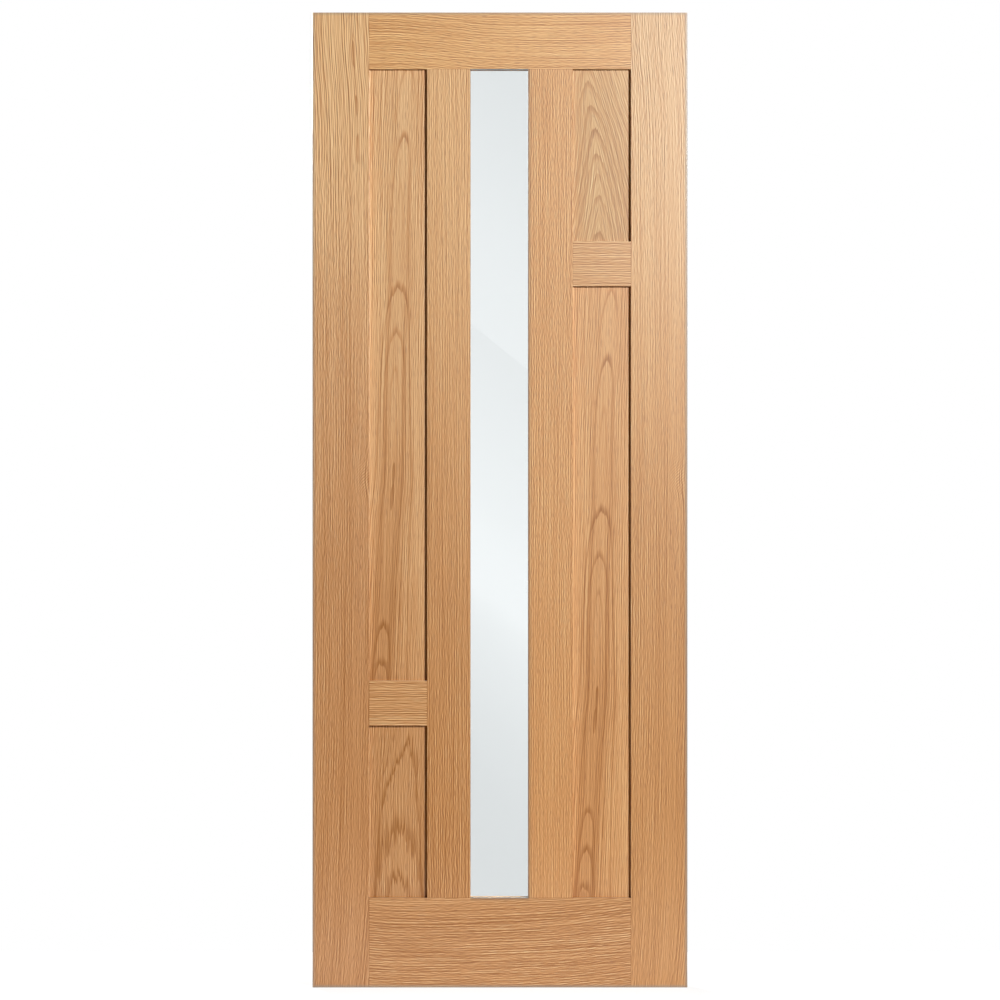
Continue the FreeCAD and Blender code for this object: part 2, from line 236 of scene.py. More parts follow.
FIGURES = {
    "left_stile": replace(
        STILE,
        # The paler head of the tone is partly painted sheen and partly the veneer's own tone
        tone=((0.0, -0.30), (0.26, -0.28), (0.73, 0.02), (1.72, 0.21), (1.981, 0.21)),
        streaks=((0.0, 2.3), (0.26, 2.1), (0.73, 1.2), (1.3, 0.95), (1.981, 0.9)),
        stretch=((0.0, 0.0), (0.35, 0.20), (0.75, 0.75), (2.0, 2.8)),
        cast=(1.0, 0.975, 0.94),
        drift=(1.0, 1.01, 1.10),
        arches=(
            Arch(0.004, 0.030, 0.060, spread=0.02, strength=0.22),
            Arch(0.048, 0.014, 0.060, spread=0.01, strength=0.26),
            smear(0.060, 0.0045, 0.015, 0.054, 0.56),
            smear(0.108, 0.0012, 0.020, 0.070, 0.46),
            smear(0.170, 0.0038, 0.012, 0.038, 0.60),
            smear(0.204, 0.0010, 0.020, 0.050, 0.42),
            smear(0.247, 0.0036, 0.015, 0.058, 0.58),
            smear(0.300, 0.0010, 0.020, 0.110, 0.40),
        ),
    ),
    "right_stile": replace(
        STILE,
        tone=((0.0, -0.21), (0.17, -0.20), (0.68, -0.03), (1.23, 0.14), (1.981, 0.18)),
        streaks=((0.0, 1.85), (0.17, 1.75), (0.68, 0.95), (1.23, 0.9), (1.981, 0.8)),
        stretch=((0.0, 0.0), (2.0, 2.7)),
        # The cast and drift leave the head cooler than the foot as painted sheen, and the paler head of the
        # tone is partly painted sheen too
        cast=(0.965, 1.0, 1.06),
        drift=(1.045, 1.0, 0.90),
    ),
    "upper_left_panel": replace(LONG_PANEL, tone=((0.0, -0.19), (0.2, -0.18), (0.66, -0.17), (1.08, 0.0))),
    "lower_right_panel": replace(
        LONG_PANEL,
        tone=((0.0, -0.04), (0.2, -0.045), (0.64, -0.04), (1.06, -0.03)),
        streaks=((0.0, 1.0), (1.06, 0.65)),
        cast=(1.02, 1.0, 0.95),
        arches=(
            *(replace(arch, tip=arch.tip + NEXT_LEAF_SHIFT) for arch in LONG_PANEL.arches),
            Arch(1.080, 0.011, 0.016, spread=0.05, strength=0.34, fade=0.005),
        ),
    ),
    "upper_right_panel": Figure(
        seed=5.3,
        heart_offset=(
            (0.0, -0.032),
            (0.035, -0.028),
            (0.084, -0.022),
            (0.130, -0.014),
            (0.181, -0.010),
            (0.266, -0.006),
            (0.371, -0.006),
        ),
        heart_rings=((0.0, 0.4),),
        taper=(
            (0.0, 6.7),
            (0.035, 6.0),
            (0.084, 5.0),
            (0.128, 4.0),
            (0.181, 3.0),
            (0.266, 2.0),
            (0.371, 0.6),
        ),
        ring_width=0.0125,
        tone=((0.0, -0.03),),
        contrast=0.4,
        sway=0.0012,
        ragged=0.0016,
        lean=0.16,
        cast=(0.96, 1.03, 1.02),
        arches=(
            crown_arch(-0.10, 0.020, 0.020, 0.20, 0.26, fade=0.011, reach=2.0),
            crown_arch(-0.04, 0.020, 0.020, 0.20, 0.30, fade=0.011, reach=2.0),
            crown_arch(0.002, 0.018, 0.020, 0.20, 0.27, fade=0.011, reach=2.0),
            crown_arch(0.035, 0.016, 0.020, 0.20, 0.38),
            crown_arch(0.083, 0.014, 0.020, 0.20, 0.48),
            crown_arch(0.130, 0.010, 0.014, 0.23, 0.57),
            crown_arch(0.181, 0.010, 0.014, 0.23, 0.43),
            crown_arch(0.222, 0.008, 0.014, 0.22, 0.28),
            crown_arch(0.266, 0.010, 0.014, 0.22, 0.40),
            crown_arch(0.340, 0.012, 0.014, 0.20, 0.48, fade=0.010),
        ),
    ),
    "lower_left_panel": Figure(
        seed=8.9,
        heart_offset=(
            (0.0, 0.028),
            (0.061, 0.0205),
            (0.100, 0.0134),
            (0.132, 0.0057),
            (0.155, 0.004),
            (0.371, 0.001),
        ),
        heart_rings=((0.0, 12.0),),
        tone=((0.0, 0.16), (0.1, 0.19), (0.371, 0.19)),
        contrast=0.5,
        cast=(0.985, 1.01, 1.07),
        follow=0.2,
        jag=0.080,
        arches=(
            Arch(-0.060, 0.050, 0.120, strength=0.18, fade=0.006, reach=6.0),
            Arch(0.056, 0.050, 0.130, strength=0.45, fade=0.006, reach=4.0),
            Arch(0.230, 0.053, 0.072, strength=0.36, fade=0.006, reach=9.0),
            Arch(0.330, 0.026, 0.028, strength=0.46, fade=0.006, reach=5.0),
        ),
    ),
    "left_muntin": replace(
        MUNTIN,
        heart_offset=((0.0, -0.160),),
        heart_rings=((0.0, 15.0),),
        tone=((0.0, -0.11), (0.21, -0.10), (0.89, 0.11), (1.52, 0.245), (1.7, 0.245)),
        streaks=((0.0, 1.25), (0.21, 1.2), (0.89, 0.85), (1.52, 1.1), (1.7, 1.1)),
        stretch=((0.0, 0.0), (2.0, 2.7)),
        cast=(1.01, 1.0, 0.97),
    ),
    "right_muntin": replace(
        MUNTIN,
        seed=23.9,
        heart_offset=((0.0, 0.150),),
        heart_rings=((0.0, 16.0),),
        tone=((0.0, -0.01), (0.21, -0.005), (0.89, 0.04), (1.52, 0.11), (1.7, 0.11)),
        streaks=((0.0, 1.5), (0.21, 1.45), (0.89, 1.25), (1.52, 0.85), (1.7, 0.85)),
        stretch=((0.0, 0.0), (2.0, 3.3)),
        cast=(1.03, 0.99, 0.91),
    ),
    "top_rail": replace(
        RAIL,
        heart_offset=(
            (0.0, 0.115),
            (0.06, 0.113),
            (0.10, 0.109),
            (0.18, 0.099),
            (0.31, 0.087),
            (0.56, 0.091),
        ),
        sway=0.0040,
        tone=((0.0, -0.12), (0.11, -0.12), (0.45, -0.09), (0.56, -0.09)),
        contrast=1.15,
        cast=(1.045, 1.0, 0.85),
    ),
    "bottom_rail": replace(
        RAIL,
        seed=37.7,
        heart_offset=(
            (0.0, 0.105),
            (0.10, 0.097),
            (0.24, 0.100),
            (0.38, 0.109),
            (0.47, 0.121),
            (0.56, 0.137),
        ),
        sway=0.0050,
        tone=((0.0, 0.155), (0.11, 0.155), (0.45, 0.165), (0.56, 0.165)),
        contrast=1.3,
    ),
    "left_cross_rail": replace(
        CROSS_RAIL,
        heart_offset=((0.0, -0.120),),
        contrast=1.6,
        tone=((0.0, 0.02),),
        streaks=((0.0, 1.35),),
    ),
    "right_cross_rail": replace(
        CROSS_RAIL,
        seed=47.9,
        heart_offset=((0.0, 0.110),),
        contrast=1.4,
        tone=((0.0, -0.06),),
        streaks=((0.0, 1.3),),
    ),
    "left_bead": Figure(seed=53.1, heart_offset=((0.0, 0.080),)),
    "right_bead": Figure(seed=57.7, heart_offset=((0.0, -0.080),)),
    "top_bead": Figure(seed=61.3, heart_offset=((0.0, 0.080),), lying=True),
    "bottom_bead": Figure(seed=67.9, heart_offset=((0.0, 0.080),), lying=True),
}

# Noise in the oak, in grains a metre across and along a board
SWAY_GRAIN = (9.0, 2.4)
RAGGED_GRAIN = (120.0, 5.0)
FEATHER_GRAIN = (430.0, 22.0)
DASH_GRAIN = (260.0, 22.0)
LONG_STREAK_GRAIN = (460.0, 4.5)
SHORT_STREAK_GRAIN = (480.0, 50.0)
WIDE_STREAK_GRAIN = (120.0, 3.0)
BROAD_GRAIN = (10.0, 0.9)
VESSEL_GRAIN = (900.0, 42.0)
COARSE_JAG_GRAIN = (130.0, 5.0)
FINE_JAG_GRAIN = (380.0, 14.0)
RIPPLE_GRAIN = (70.0, 30.0)
# The roughness of the noise that makes lines ragged
RAGGED_ROUGHNESS = 0.6

# Growth rings: how far their lines feather, the size of a swirl across and along, how uneven the years
# are and how quickly that changes from ring to ring, and how dark a line is through one year
FEATHER_SIZE = 0.0010
SWIRL_SIZE = (0.016, 0.045)
YEAR_UNEVEN = 0.9
YEAR_PACE = 0.45
RING_LINE = ((0.0, 0.5), (0.05, 1.0), (0.16, 0.66), (0.36, 0.26), (0.65, 0.07), (0.93, 0.0), (1.0, 0.5))
# The least strength of a year's line and how much more it may have, how dashes break it on the flank, and
# between which shares of flank it comes in
LEAST_VIGOUR = 0.5
MORE_VIGOUR = 0.6
DASH_RAMP = (-0.22, 0.18)
DASH_BREAK = 0.6
FLANK_RAMP = (0.15, 0.75)

# Arches: what is left of their strength on the legs, how pointed they are, their sharp edge, how much of
# their raggedness is fine, how patchy they are, and how far they calm the streaks
ARCH_LEG_SHARE = 0.6
ARCH_POINT = 1.4
ARCH_INNER_EDGE = 0.0012
ARCH_LEAST_SLOPE = 0.001
ARCH_FINE_JAG = 0.8
ARCH_PATCHES = 0.9
ARCH_CALM = 0.6
# Half the width of the deeper band along the heart line
HEART_BAND = 0.022

# Streaks: the step between the fine ones, the weight of the long ones and of all fine ones, and what is
# left of them at the heart
STREAK_STEP = 0.0020
LONG_STREAK_WEIGHT = 1.2
FINE_STREAK_WEIGHT = 0.95
HEART_STREAKS = 0.6
# Pores: the noise between which they open, what is left of them in late wood, and how dark they are
VESSEL_RAMP = (0.06, 0.22)
LATE_PORES = 0.3
PORE_SHARE = 0.5

# Darkness, from nought for pale oak to one for dark oak: of plain oak, of what broad bands and the line
# at a joint add, and of the palest wood
PLAIN_LEVEL = 0.40
BROAD_TONE = 0.16
JOINT_TONE = 0.45
PALEST = -0.5
# Where the line at a joint starts and where it is full, as distances from the shoulder
JOINT_LINE = (0.0010, 0.0003)
# How far down a board its colour drifts
DRIFT_RUN = 0.75
# The ripples at a swirl: their pitch and slant, how far they stray and reach, and how dark they are
RIPPLE_PITCH = 0.0066
RIPPLE_SLANT = 1.1
RIPPLE_STRAY = 0.010
RIPPLE_SIZE = (0.013, 0.034)
RIPPLE_TONE = 0.20

# Roughness of the wood, what pores and early wood add to it, and how far they sink
WOOD_ROUGHNESS = 0.32
PORE_ROUGHNESS = 0.14
EARLY_ROUGHNESS = 0.04
PORE_SINK = -0.65
EARLY_SINK = -0.35
# Gloss of the satin lacquer and of the wood under it
LACQUER_ROUGHNESS = 0.29
LACQUER_IOR = 1.62
WOOD_SPECULAR = 0.3

# Noise in the other finishes, in grains a metre: waves of a pane, roll marks and dull patches of the
# aluminium, dust in a slot, cells of the foam, and specks of the floor
PANE_WAVE_GRAIN = (3.0, 2.0)
ROLL_MARK_GRAIN = (1400.0, 60.0)
DULL_PATCH_GRAIN = (60.0, 30.0)
SLOT_DUST_GRAIN = (2600.0, 2600.0)
FOAM_CELL_GRAIN = (1600.0, 1600.0)
FLOOR_SPECK_GRAIN = (40.0, 40.0)
# Shares of the plain colour: of the aluminium where it is worn, deep in a slot as painted shade and on the
# dust there, and of the foam in a pit as painted shade
WORN_SHARE = 0.72
SLOT_SHARE = 0.04
DUST_SHARE = 0.16
PIT_SHARE = 0.35
# The noise between which dust covers a slot, and between which the foam rises out of a pit
DUST_RAMP = (-0.1, 0.3)
PIT_RAMP = (-0.12, 0.18)
GLASS_IOR = 1.5

# How far a panel stands in its grooves
PANEL_IN_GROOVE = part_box("left_stile")[1].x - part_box("upper_left_panel")[0].x
# How far from a panel's side and head a painted shadow darkens it and takes off its lacquer, and how wide a
# painted highlight is on its other side
PAINTED_SHADOW_SIDE = (0.0050, 0.0034)
PAINTED_SHADOW_HEAD = (0.0018, 0.0006)
PAINTED_SHADOW_TONE = 0.35
PAINTED_HIGHLIGHT_SIDE = 0.009
PAINTED_HIGHLIGHT_TONE = -0.07

# How far and by how much painted shade darkens the wood inside the leaf's outline, at its left and top and at
# its right and foot, and how deep behind the faces that ends
RIM_WIDTH = 0.008
RIM_SHARE = 0.50
FAR_RIM_SHARE = 0.75
RIM_DEPTH = (0.0030, 0.0012)
# The line of painted shadow beside the glass: its fade, its share, and how much faster it fades at its left
# and head
GLASS_SHADE = 0.0026
GLASS_SHARE = 0.88
GLASS_SHARPER = 10.0

# Facets of a pin head or slot, and how far a slot's painted shade shows above the bar
LENS_SEGMENTS = 12
LENS_RINGS = 6
SLOT_RISE = 0.00005

# How far the camera sees, the places of the lamps and their width
CAMERA_REACH = 100.0
KEY_PLACE = (2.9, -6.0, 2.6)
BACK_PLACE = (-2.1, 6.0, 2.6)
LAMP_SIZE = 0.4
# The floor: how far it reaches past the sides of the leaf, in front and behind, how dull its specks are and
# how rough it is, where the leaf's shadow fades, its own light there and how much more beyond, and what
# dims its shading
FLOOR_ASIDE = 1.2
FLOOR_NEAR = -1.4
FLOOR_FAR = 0.6
FLOOR_SPECK = 0.97
FLOOR_ROUGHNESS = 0.9
FLOOR_FADE = (0.03, 0.40)
FLOOR_LIGHT = 0.84
FLOOR_MORE_LIGHT = 0.18
FLOOR_DIMMING = 0.7
# The card behind the camera: its distance and reach, the half width and soft edge of its pale strip, its
# light beside the strip, the slant of the bands on the strip, and their light from low to high
CARD_BEHIND = 1.0
CARD_REACH = 6.0
CARD_STRIP = 0.20
CARD_EDGE = 0.06
CARD_DIM = 0.12
CARD_SLANT = 0.81
CARD_LEVELS = (
    (-1.75, 0.05),
    (-1.46, 0.06),
    (-1.10, 0.32),
    (-0.80, 0.72),
    (-0.60, 1.06),
    (-0.50, 1.34),
    (-0.42, 1.54),
    (0.00, 1.26),
    (0.40, 0.98),
    (0.62, 0.84),
    (1.05, 0.68),
    (1.46, 0.36),
    (1.86, 0.06),
)
# The height of a sharp step on the strip, its edge and how much brighter it is above
CARD_FLAG = 0.66
CARD_FLAG_EDGE = 0.003
CARD_FLAG_STEP = 0.34

NUMBER = "NodeSocketFloat"
COLOUR = "NodeSocketColor"
PLACE = "NodeSocketVector"
# The sockets of a Mix node for colours, whose labels are also those of its sockets for numbers
MIX_FIRST = 6
MIX_SECOND = 7
MIX_RESULT = 2

# Settings of a figure, an arch and the finish that go to sockets of the same name
RING_SETTINGS = ("seed", "ring_width", "sway", "ragged", "follow", "lean")
ARCH_SETTINGS = ("tip", "half_width", "shoulder", "spread", "length", "fade", "reach")
WOODS = ("pale_wood", "middle_wood", "dark_wood", "pore")
# Sockets for the three values of a swirl
SWIRL_LABELS = ("Swirl Across", "Swirl Along", "Swirl Lift")


def label_of(setting):
    """The label of the socket that takes a setting."""
    return setting.replace("_", " ").title()


def labelled(owner, settings):
    """Settings of a figure, an arch or the finish, by the labels of the sockets that take them."""
    return {label_of(setting): getattr(owner, setting) for setting in settings}


def opaque(colour, share=1.0):
    """A share of a colour, with full alpha."""
    return (*(share * part for part in colour), 1.0)


class Wiring:
    """Adds nodes to one tree, and feeds each socket from another socket or from a plain value."""

    def __init__(self, tree):
        self.tree = tree

    def add(self, kind, **settings):
        """A new node with its settings."""
        node = self.tree.nodes.new(kind)
        for name, value in settings.items():
            setattr(node, name, value)
        return node

    def feed(self, socket, value):
        """A link where the value is a socket, and otherwise the socket's own value."""
        if isinstance(value, bpy.types.NodeSocket):
            self.tree.links.new(value, socket)
        else:
            socket.default_value = value

    def feed_named(self, node, values):
        """Feeds the inputs of a node by their names."""
        for label, value in values.items():
            self.feed(node.inputs[label], value)

    def group(self, tree, values):
        """The outputs of a shader group that is placed in the tree with its values."""
        node = self.add("ShaderNodeGroup", node_tree=tree)
        self.feed_named(node, values)
        return node.outputs

    def maths(self, operation, *values, clamp=False):
        """The result of one Math node."""
        node = self.add("ShaderNodeMath", operation=operation, use_clamp=clamp)
        for socket, value in zip(node.inputs, values):
            self.feed(socket, value)
        return node.outputs[0]

    def square_sum(self, first, second):
        """The sum of the squares of two values."""
        return self.maths("ADD", self.maths("MULTIPLY", first, first), self.maths("MULTIPLY", second, second))

    def decay(self, value):
        """A share that falls from one towards nought as a value grows."""
        return self.maths("EXPONENT", self.maths("MULTIPLY", value, -1.0))

    def position(self):
        """The place of a point in the frame of its object."""
        return self.add("ShaderNodeTexCoord").outputs["Object"]

    def split(self, place):
        """The three parts of a place."""
        parts = self.add("ShaderNodeSeparateXYZ")
        self.feed(parts.inputs[0], place)
        return parts.outputs

    def noise(self, place, seed, grain, detail=0.0, roughness=0.5):
        """Noise about zero, with so many grains a metre across and along, moved by a seed."""
        across, along = grain
        stretch = self.add("ShaderNodeVectorMath", operation="MULTIPLY_ADD")
        self.feed(stretch.inputs[0], place)
        self.feed(stretch.inputs[1], (across, across, along))
        shift = self.add("ShaderNodeCombineXYZ")
        for socket in shift.inputs:
            self.feed(socket, seed)
        self.feed(stretch.inputs[2], shift.outputs[0])
        node = self.add("ShaderNodeTexNoise")
        self.feed_named(node, {
            "Vector": stretch.outputs[0],
            "Scale": 1.0,
            "Detail": detail,
            "Roughness": roughness,
        })
        return self.maths("SUBTRACT", node.outputs[0], 0.5)

    def around(self, value, middle, swing, clamp=False):
        """A middle value that a noise or a share swings away from."""
        return self.maths("MULTIPLY_ADD", value, swing, middle, clamp=clamp)

    def fine_noise(self, place, seed, grain, step):
        """Noise less its mean one step to either side, which leaves only streaks about two steps apart."""
        value = self.noise(place, seed, grain)
        for shift in (-step, step):
            moved = self.add("ShaderNodeVectorMath", operation="ADD")
            self.feed(moved.inputs[0], place)
            self.feed(moved.inputs[1], (shift, 0.0, 0.0))
            beside = self.noise(moved.outputs[0], seed, grain)
            value = self.maths("MULTIPLY_ADD", beside, -0.5, value)
        return value

    def ramp(self, value, low, high):
        """Nought below one value, one above the other, and smooth between them."""
        node = self.add("ShaderNodeMapRange", interpolation_type="SMOOTHSTEP")
        self.feed_named(node, {"Value": value, "From Min": low, "From Max": high})
        return node.outputs[0]

    def blend(self, share, first, second, mode="MIX"):
        """Two colours mixed by a share of the second."""
        node = self.add("ShaderNodeMix", data_type="RGBA", blend_type=mode, clamp_factor=False)
        self.feed(node.inputs[0], share)
        self.feed(node.inputs[MIX_FIRST], first)
        self.feed(node.inputs[MIX_SECOND], second)
        return node.outputs[MIX_RESULT]

    def curve(self, share, stations):
        """A value read off a curve through stations, all of them from nought to one."""
        node = self.add("ShaderNodeFloatCurve")
        points = node.mapping.curves[0].points
        while len(points) < len(stations):
            points.new(0.5, 0.5)
        for point, station in zip(points, stations):
            point.location = station
        node.mapping.update()
        self.feed(node.inputs["Value"], share)
        return node.outputs[0]

    def course(self, along, stations):
        """A value that follows its stations along a piece, or the one value of a single station."""
        if len(stations) == 1:
            return stations[0][1]
        values = [value for _, value in stations]
        low = min(values)
        reach = max(values) - low
        start = stations[0][0]
        run = stations[-1][0] - start
        shares = [((distance - start) / run, (value - low) / reach) for distance, value in stations]
        share = self.maths("DIVIDE", self.maths("SUBTRACT", along, start), run, clamp=True)
        return self.maths("MULTIPLY_ADD", self.curve(share, shares), reach, low)

    def bump(self, shader, height, strength, distance):
        """Raises and sinks the surface of a shader by a height."""
        node = self.add("ShaderNodeBump")
        self.feed_named(node, {"Strength": strength, "Distance": distance, "Height": height})
        self.feed(shader.inputs["Normal"], node.outputs[0])

    def mix_shaders(self, share, first, second):
        """Two shaders mixed by a share of the second."""
        node = self.add("ShaderNodeMixShader")
        for socket, value in zip(node.inputs, (share, first, second)):
            self.feed(socket, value)
        return node.outputs[0]

    def in_view(self):
        """One for what the camera sees, plainly, mirrored or through glass, and nought for other light."""
        path = self.add("ShaderNodeLightPath").outputs
        seen = self.maths("ADD", path["Is Camera Ray"], path["Is Glossy Ray"])
        return self.maths("ADD", seen, path["Is Transmission Ray"], clamp=True)

    def show(self, shader):
        """Puts a shader on the surface."""
        self.feed(self.tree.nodes["Material Output"].inputs["Surface"], shader)


def kept_group(name, maker):
    """The node group of a name, which is made when it is first asked for."""
    return bpy.data.node_groups.get(name) or maker(name)


def new_group(name, inputs, outputs, tree_kind="ShaderNodeTree"):
    """An empty node group: its wiring, its input sockets by label and those of its output."""
    tree = bpy.data.node_groups.new(name, tree_kind)
    for direction, sockets in (("INPUT", inputs), ("OUTPUT", outputs)):
        for kind, labels in sockets.items():
            for label in labels:
                tree.interface.new_socket(label, in_out=direction, socket_type=kind)
    wiring = Wiring(tree)
    given = wiring.add("NodeGroupInput").outputs
    result = wiring.add("NodeGroupOutput").inputs
    return wiring, given, result


def oak_rings_group(name):
    """Counts the growth rings from the heart of the tree, and how far a point is on the board's flank."""
    courses = ("Heart Offset", "Heart Rings", "Taper", "Run")
    inputs = {PLACE: ("Place",), NUMBER: (*map(label_of, RING_SETTINGS), *courses, *SWIRL_LABELS)}
    wiring, given, result = new_group(name, inputs, {NUMBER: ("Rings", "Flank"), PLACE: ("Grain",)})
    maths = wiring.maths
    place = given["Place"]
    seed = given["Seed"]
    aside, inward, along = wiring.split(place)
    across = maths("SUBTRACT", aside, given["Heart Offset"])
    depth = maths("MULTIPLY_ADD", given["Heart Rings"], given["Ring Width"], inward)
    straight = maths("SQRT", wiring.square_sum(across, depth))

    sway = maths("MULTIPLY", wiring.noise(place, seed, SWAY_GRAIN, 2.0), given["Sway"])
    ragged = wiring.noise(place, seed, RAGGED_GRAIN, 2.0, RAGGED_ROUGHNESS)
    ragged = maths("MULTIPLY", ragged, given["Ragged"])
    feather = maths("MULTIPLY", wiring.noise(place, seed, FEATHER_GRAIN, 1.0), FEATHER_SIZE)
    swirl_across = maths("DIVIDE", maths("SUBTRACT", aside, given["Swirl Across"]), SWIRL_SIZE[0])
    swirl_along = maths("DIVIDE", maths("SUBTRACT", along, given["Swirl Along"]), SWIRL_SIZE[1])
    swirl = wiring.decay(wiring.square_sum(swirl_across, swirl_along))
    swirl = maths("MULTIPLY", swirl, given["Swirl Lift"])

    bent = maths("MULTIPLY_ADD", sway, 2.0, straight)
    bent = maths("MULTIPLY_ADD", ragged, 2.0, bent)
    bent = maths("ADD", bent, maths("ADD", feather, swirl))
    rings = maths("ADD", maths("DIVIDE", bent, given["Ring Width"]), given["Taper"])
    year = wiring.add("ShaderNodeTexNoise", noise_dimensions="1D")
    turn = maths("ADD", maths("MULTIPLY", rings, YEAR_PACE), seed)
    wiring.feed_named(year, {"W": turn, "Scale": 1.0, "Detail": 1.0})
    uneven = maths("MULTIPLY", maths("SUBTRACT", year.outputs[0], 0.5), YEAR_UNEVEN)
    wiring.feed(result["Rings"], maths("ADD", rings, uneven))
    wiring.feed(result["Flank"], maths("DIVIDE", maths("ABSOLUTE", across), straight, clamp=True))

    leaned = maths("MULTIPLY", maths("MULTIPLY", maths("SIGN", across), given["Lean"]), along)
    drift = maths("MULTIPLY_ADD", sway, 2.0, maths("SUBTRACT", swirl, leaned))
    astray = maths("MULTIPLY", given["Heart Offset"], maths("SUBTRACT", 1.0, given["Follow"]))
    grain = wiring.add("ShaderNodeCombineXYZ")
    wiring.feed(grain.inputs[0], maths("ADD", maths("ADD", across, astray), drift))
    wiring.feed(grain.inputs[1], inward)
    wiring.feed(grain.inputs[2], given["Run"])
    wiring.feed(result["Grain"], grain.outputs[0])
    return wiring.tree


def oak_arch_group(name):
    """The dark line of one arch: sharp on one side, and fading on the other."""
    inputs = {NUMBER: ("Beside Heart", "Along", "Side", *map(label_of, ARCH_SETTINGS))}
    wiring, given, result = new_group(name, inputs, {NUMBER: ("Line",)})
    maths = wiring.maths
    shoulder = given["Shoulder"]
    down = maths("SUBTRACT", given["Along"], given["Tip"])
    left = maths("SUBTRACT", given["Length"], down)
    run = maths("MAXIMUM", down, 0.0)
    closing = maths("MAXIMUM", left, 0.0)
    tip_curve = wiring.decay(maths("DIVIDE", run, shoulder))
    end_curve = wiring.decay(maths("DIVIDE", closing, shoulder))
    above = maths("DIVIDE", maths("MINIMUM", down, 0.0), shoulder)
    below = maths("DIVIDE", maths("MINIMUM", left, 0.0), shoulder)
    opened = maths("ADD", maths("SUBTRACT", 1.0, tip_curve), above)
    closed = maths("ADD", maths("SUBTRACT", 1.0, end_curve), below)
    rise = maths("MULTIPLY", opened, closed)

    half = maths("MULTIPLY_ADD", run, given["Spread"], given["Half Width"])
    beside = maths("DIVIDE", maths("ABSOLUTE", given["Beside Heart"]), half)
    off = maths("SUBTRACT", maths("POWER", beside, ARCH_POINT), rise)
    steep = maths("MULTIPLY", maths("POWER", beside, ARCH_POINT - 1.0), ARCH_POINT)
    slope_across = maths("DIVIDE", steep, half)
    slope_along = maths("DIVIDE", maths("SUBTRACT", tip_curve, end_curve), shoulder)
    slope_along = maths("MULTIPLY", slope_along, given["Reach"])
    slope = maths("SQRT", wiring.square_sum(slope_across, slope_along))
    slope = maths("MAXIMUM", slope, ARCH_LEAST_SLOPE)
    distance = maths("DIVIDE", maths("MULTIPLY", off, given["Side"]), slope)
    within = wiring.ramp(distance, -ARCH_INNER_EDGE, 0.0)
    outside = wiring.ramp(distance, given["Fade"], 0.0)
    weight = maths("MULTIPLY_ADD", tip_curve, 1.0 - ARCH_LEG_SHARE, ARCH_LEG_SHARE)
    wiring.feed(result["Line"], maths("MULTIPLY", maths("MULTIPLY", within, outside), weight))
    return wiring.tree


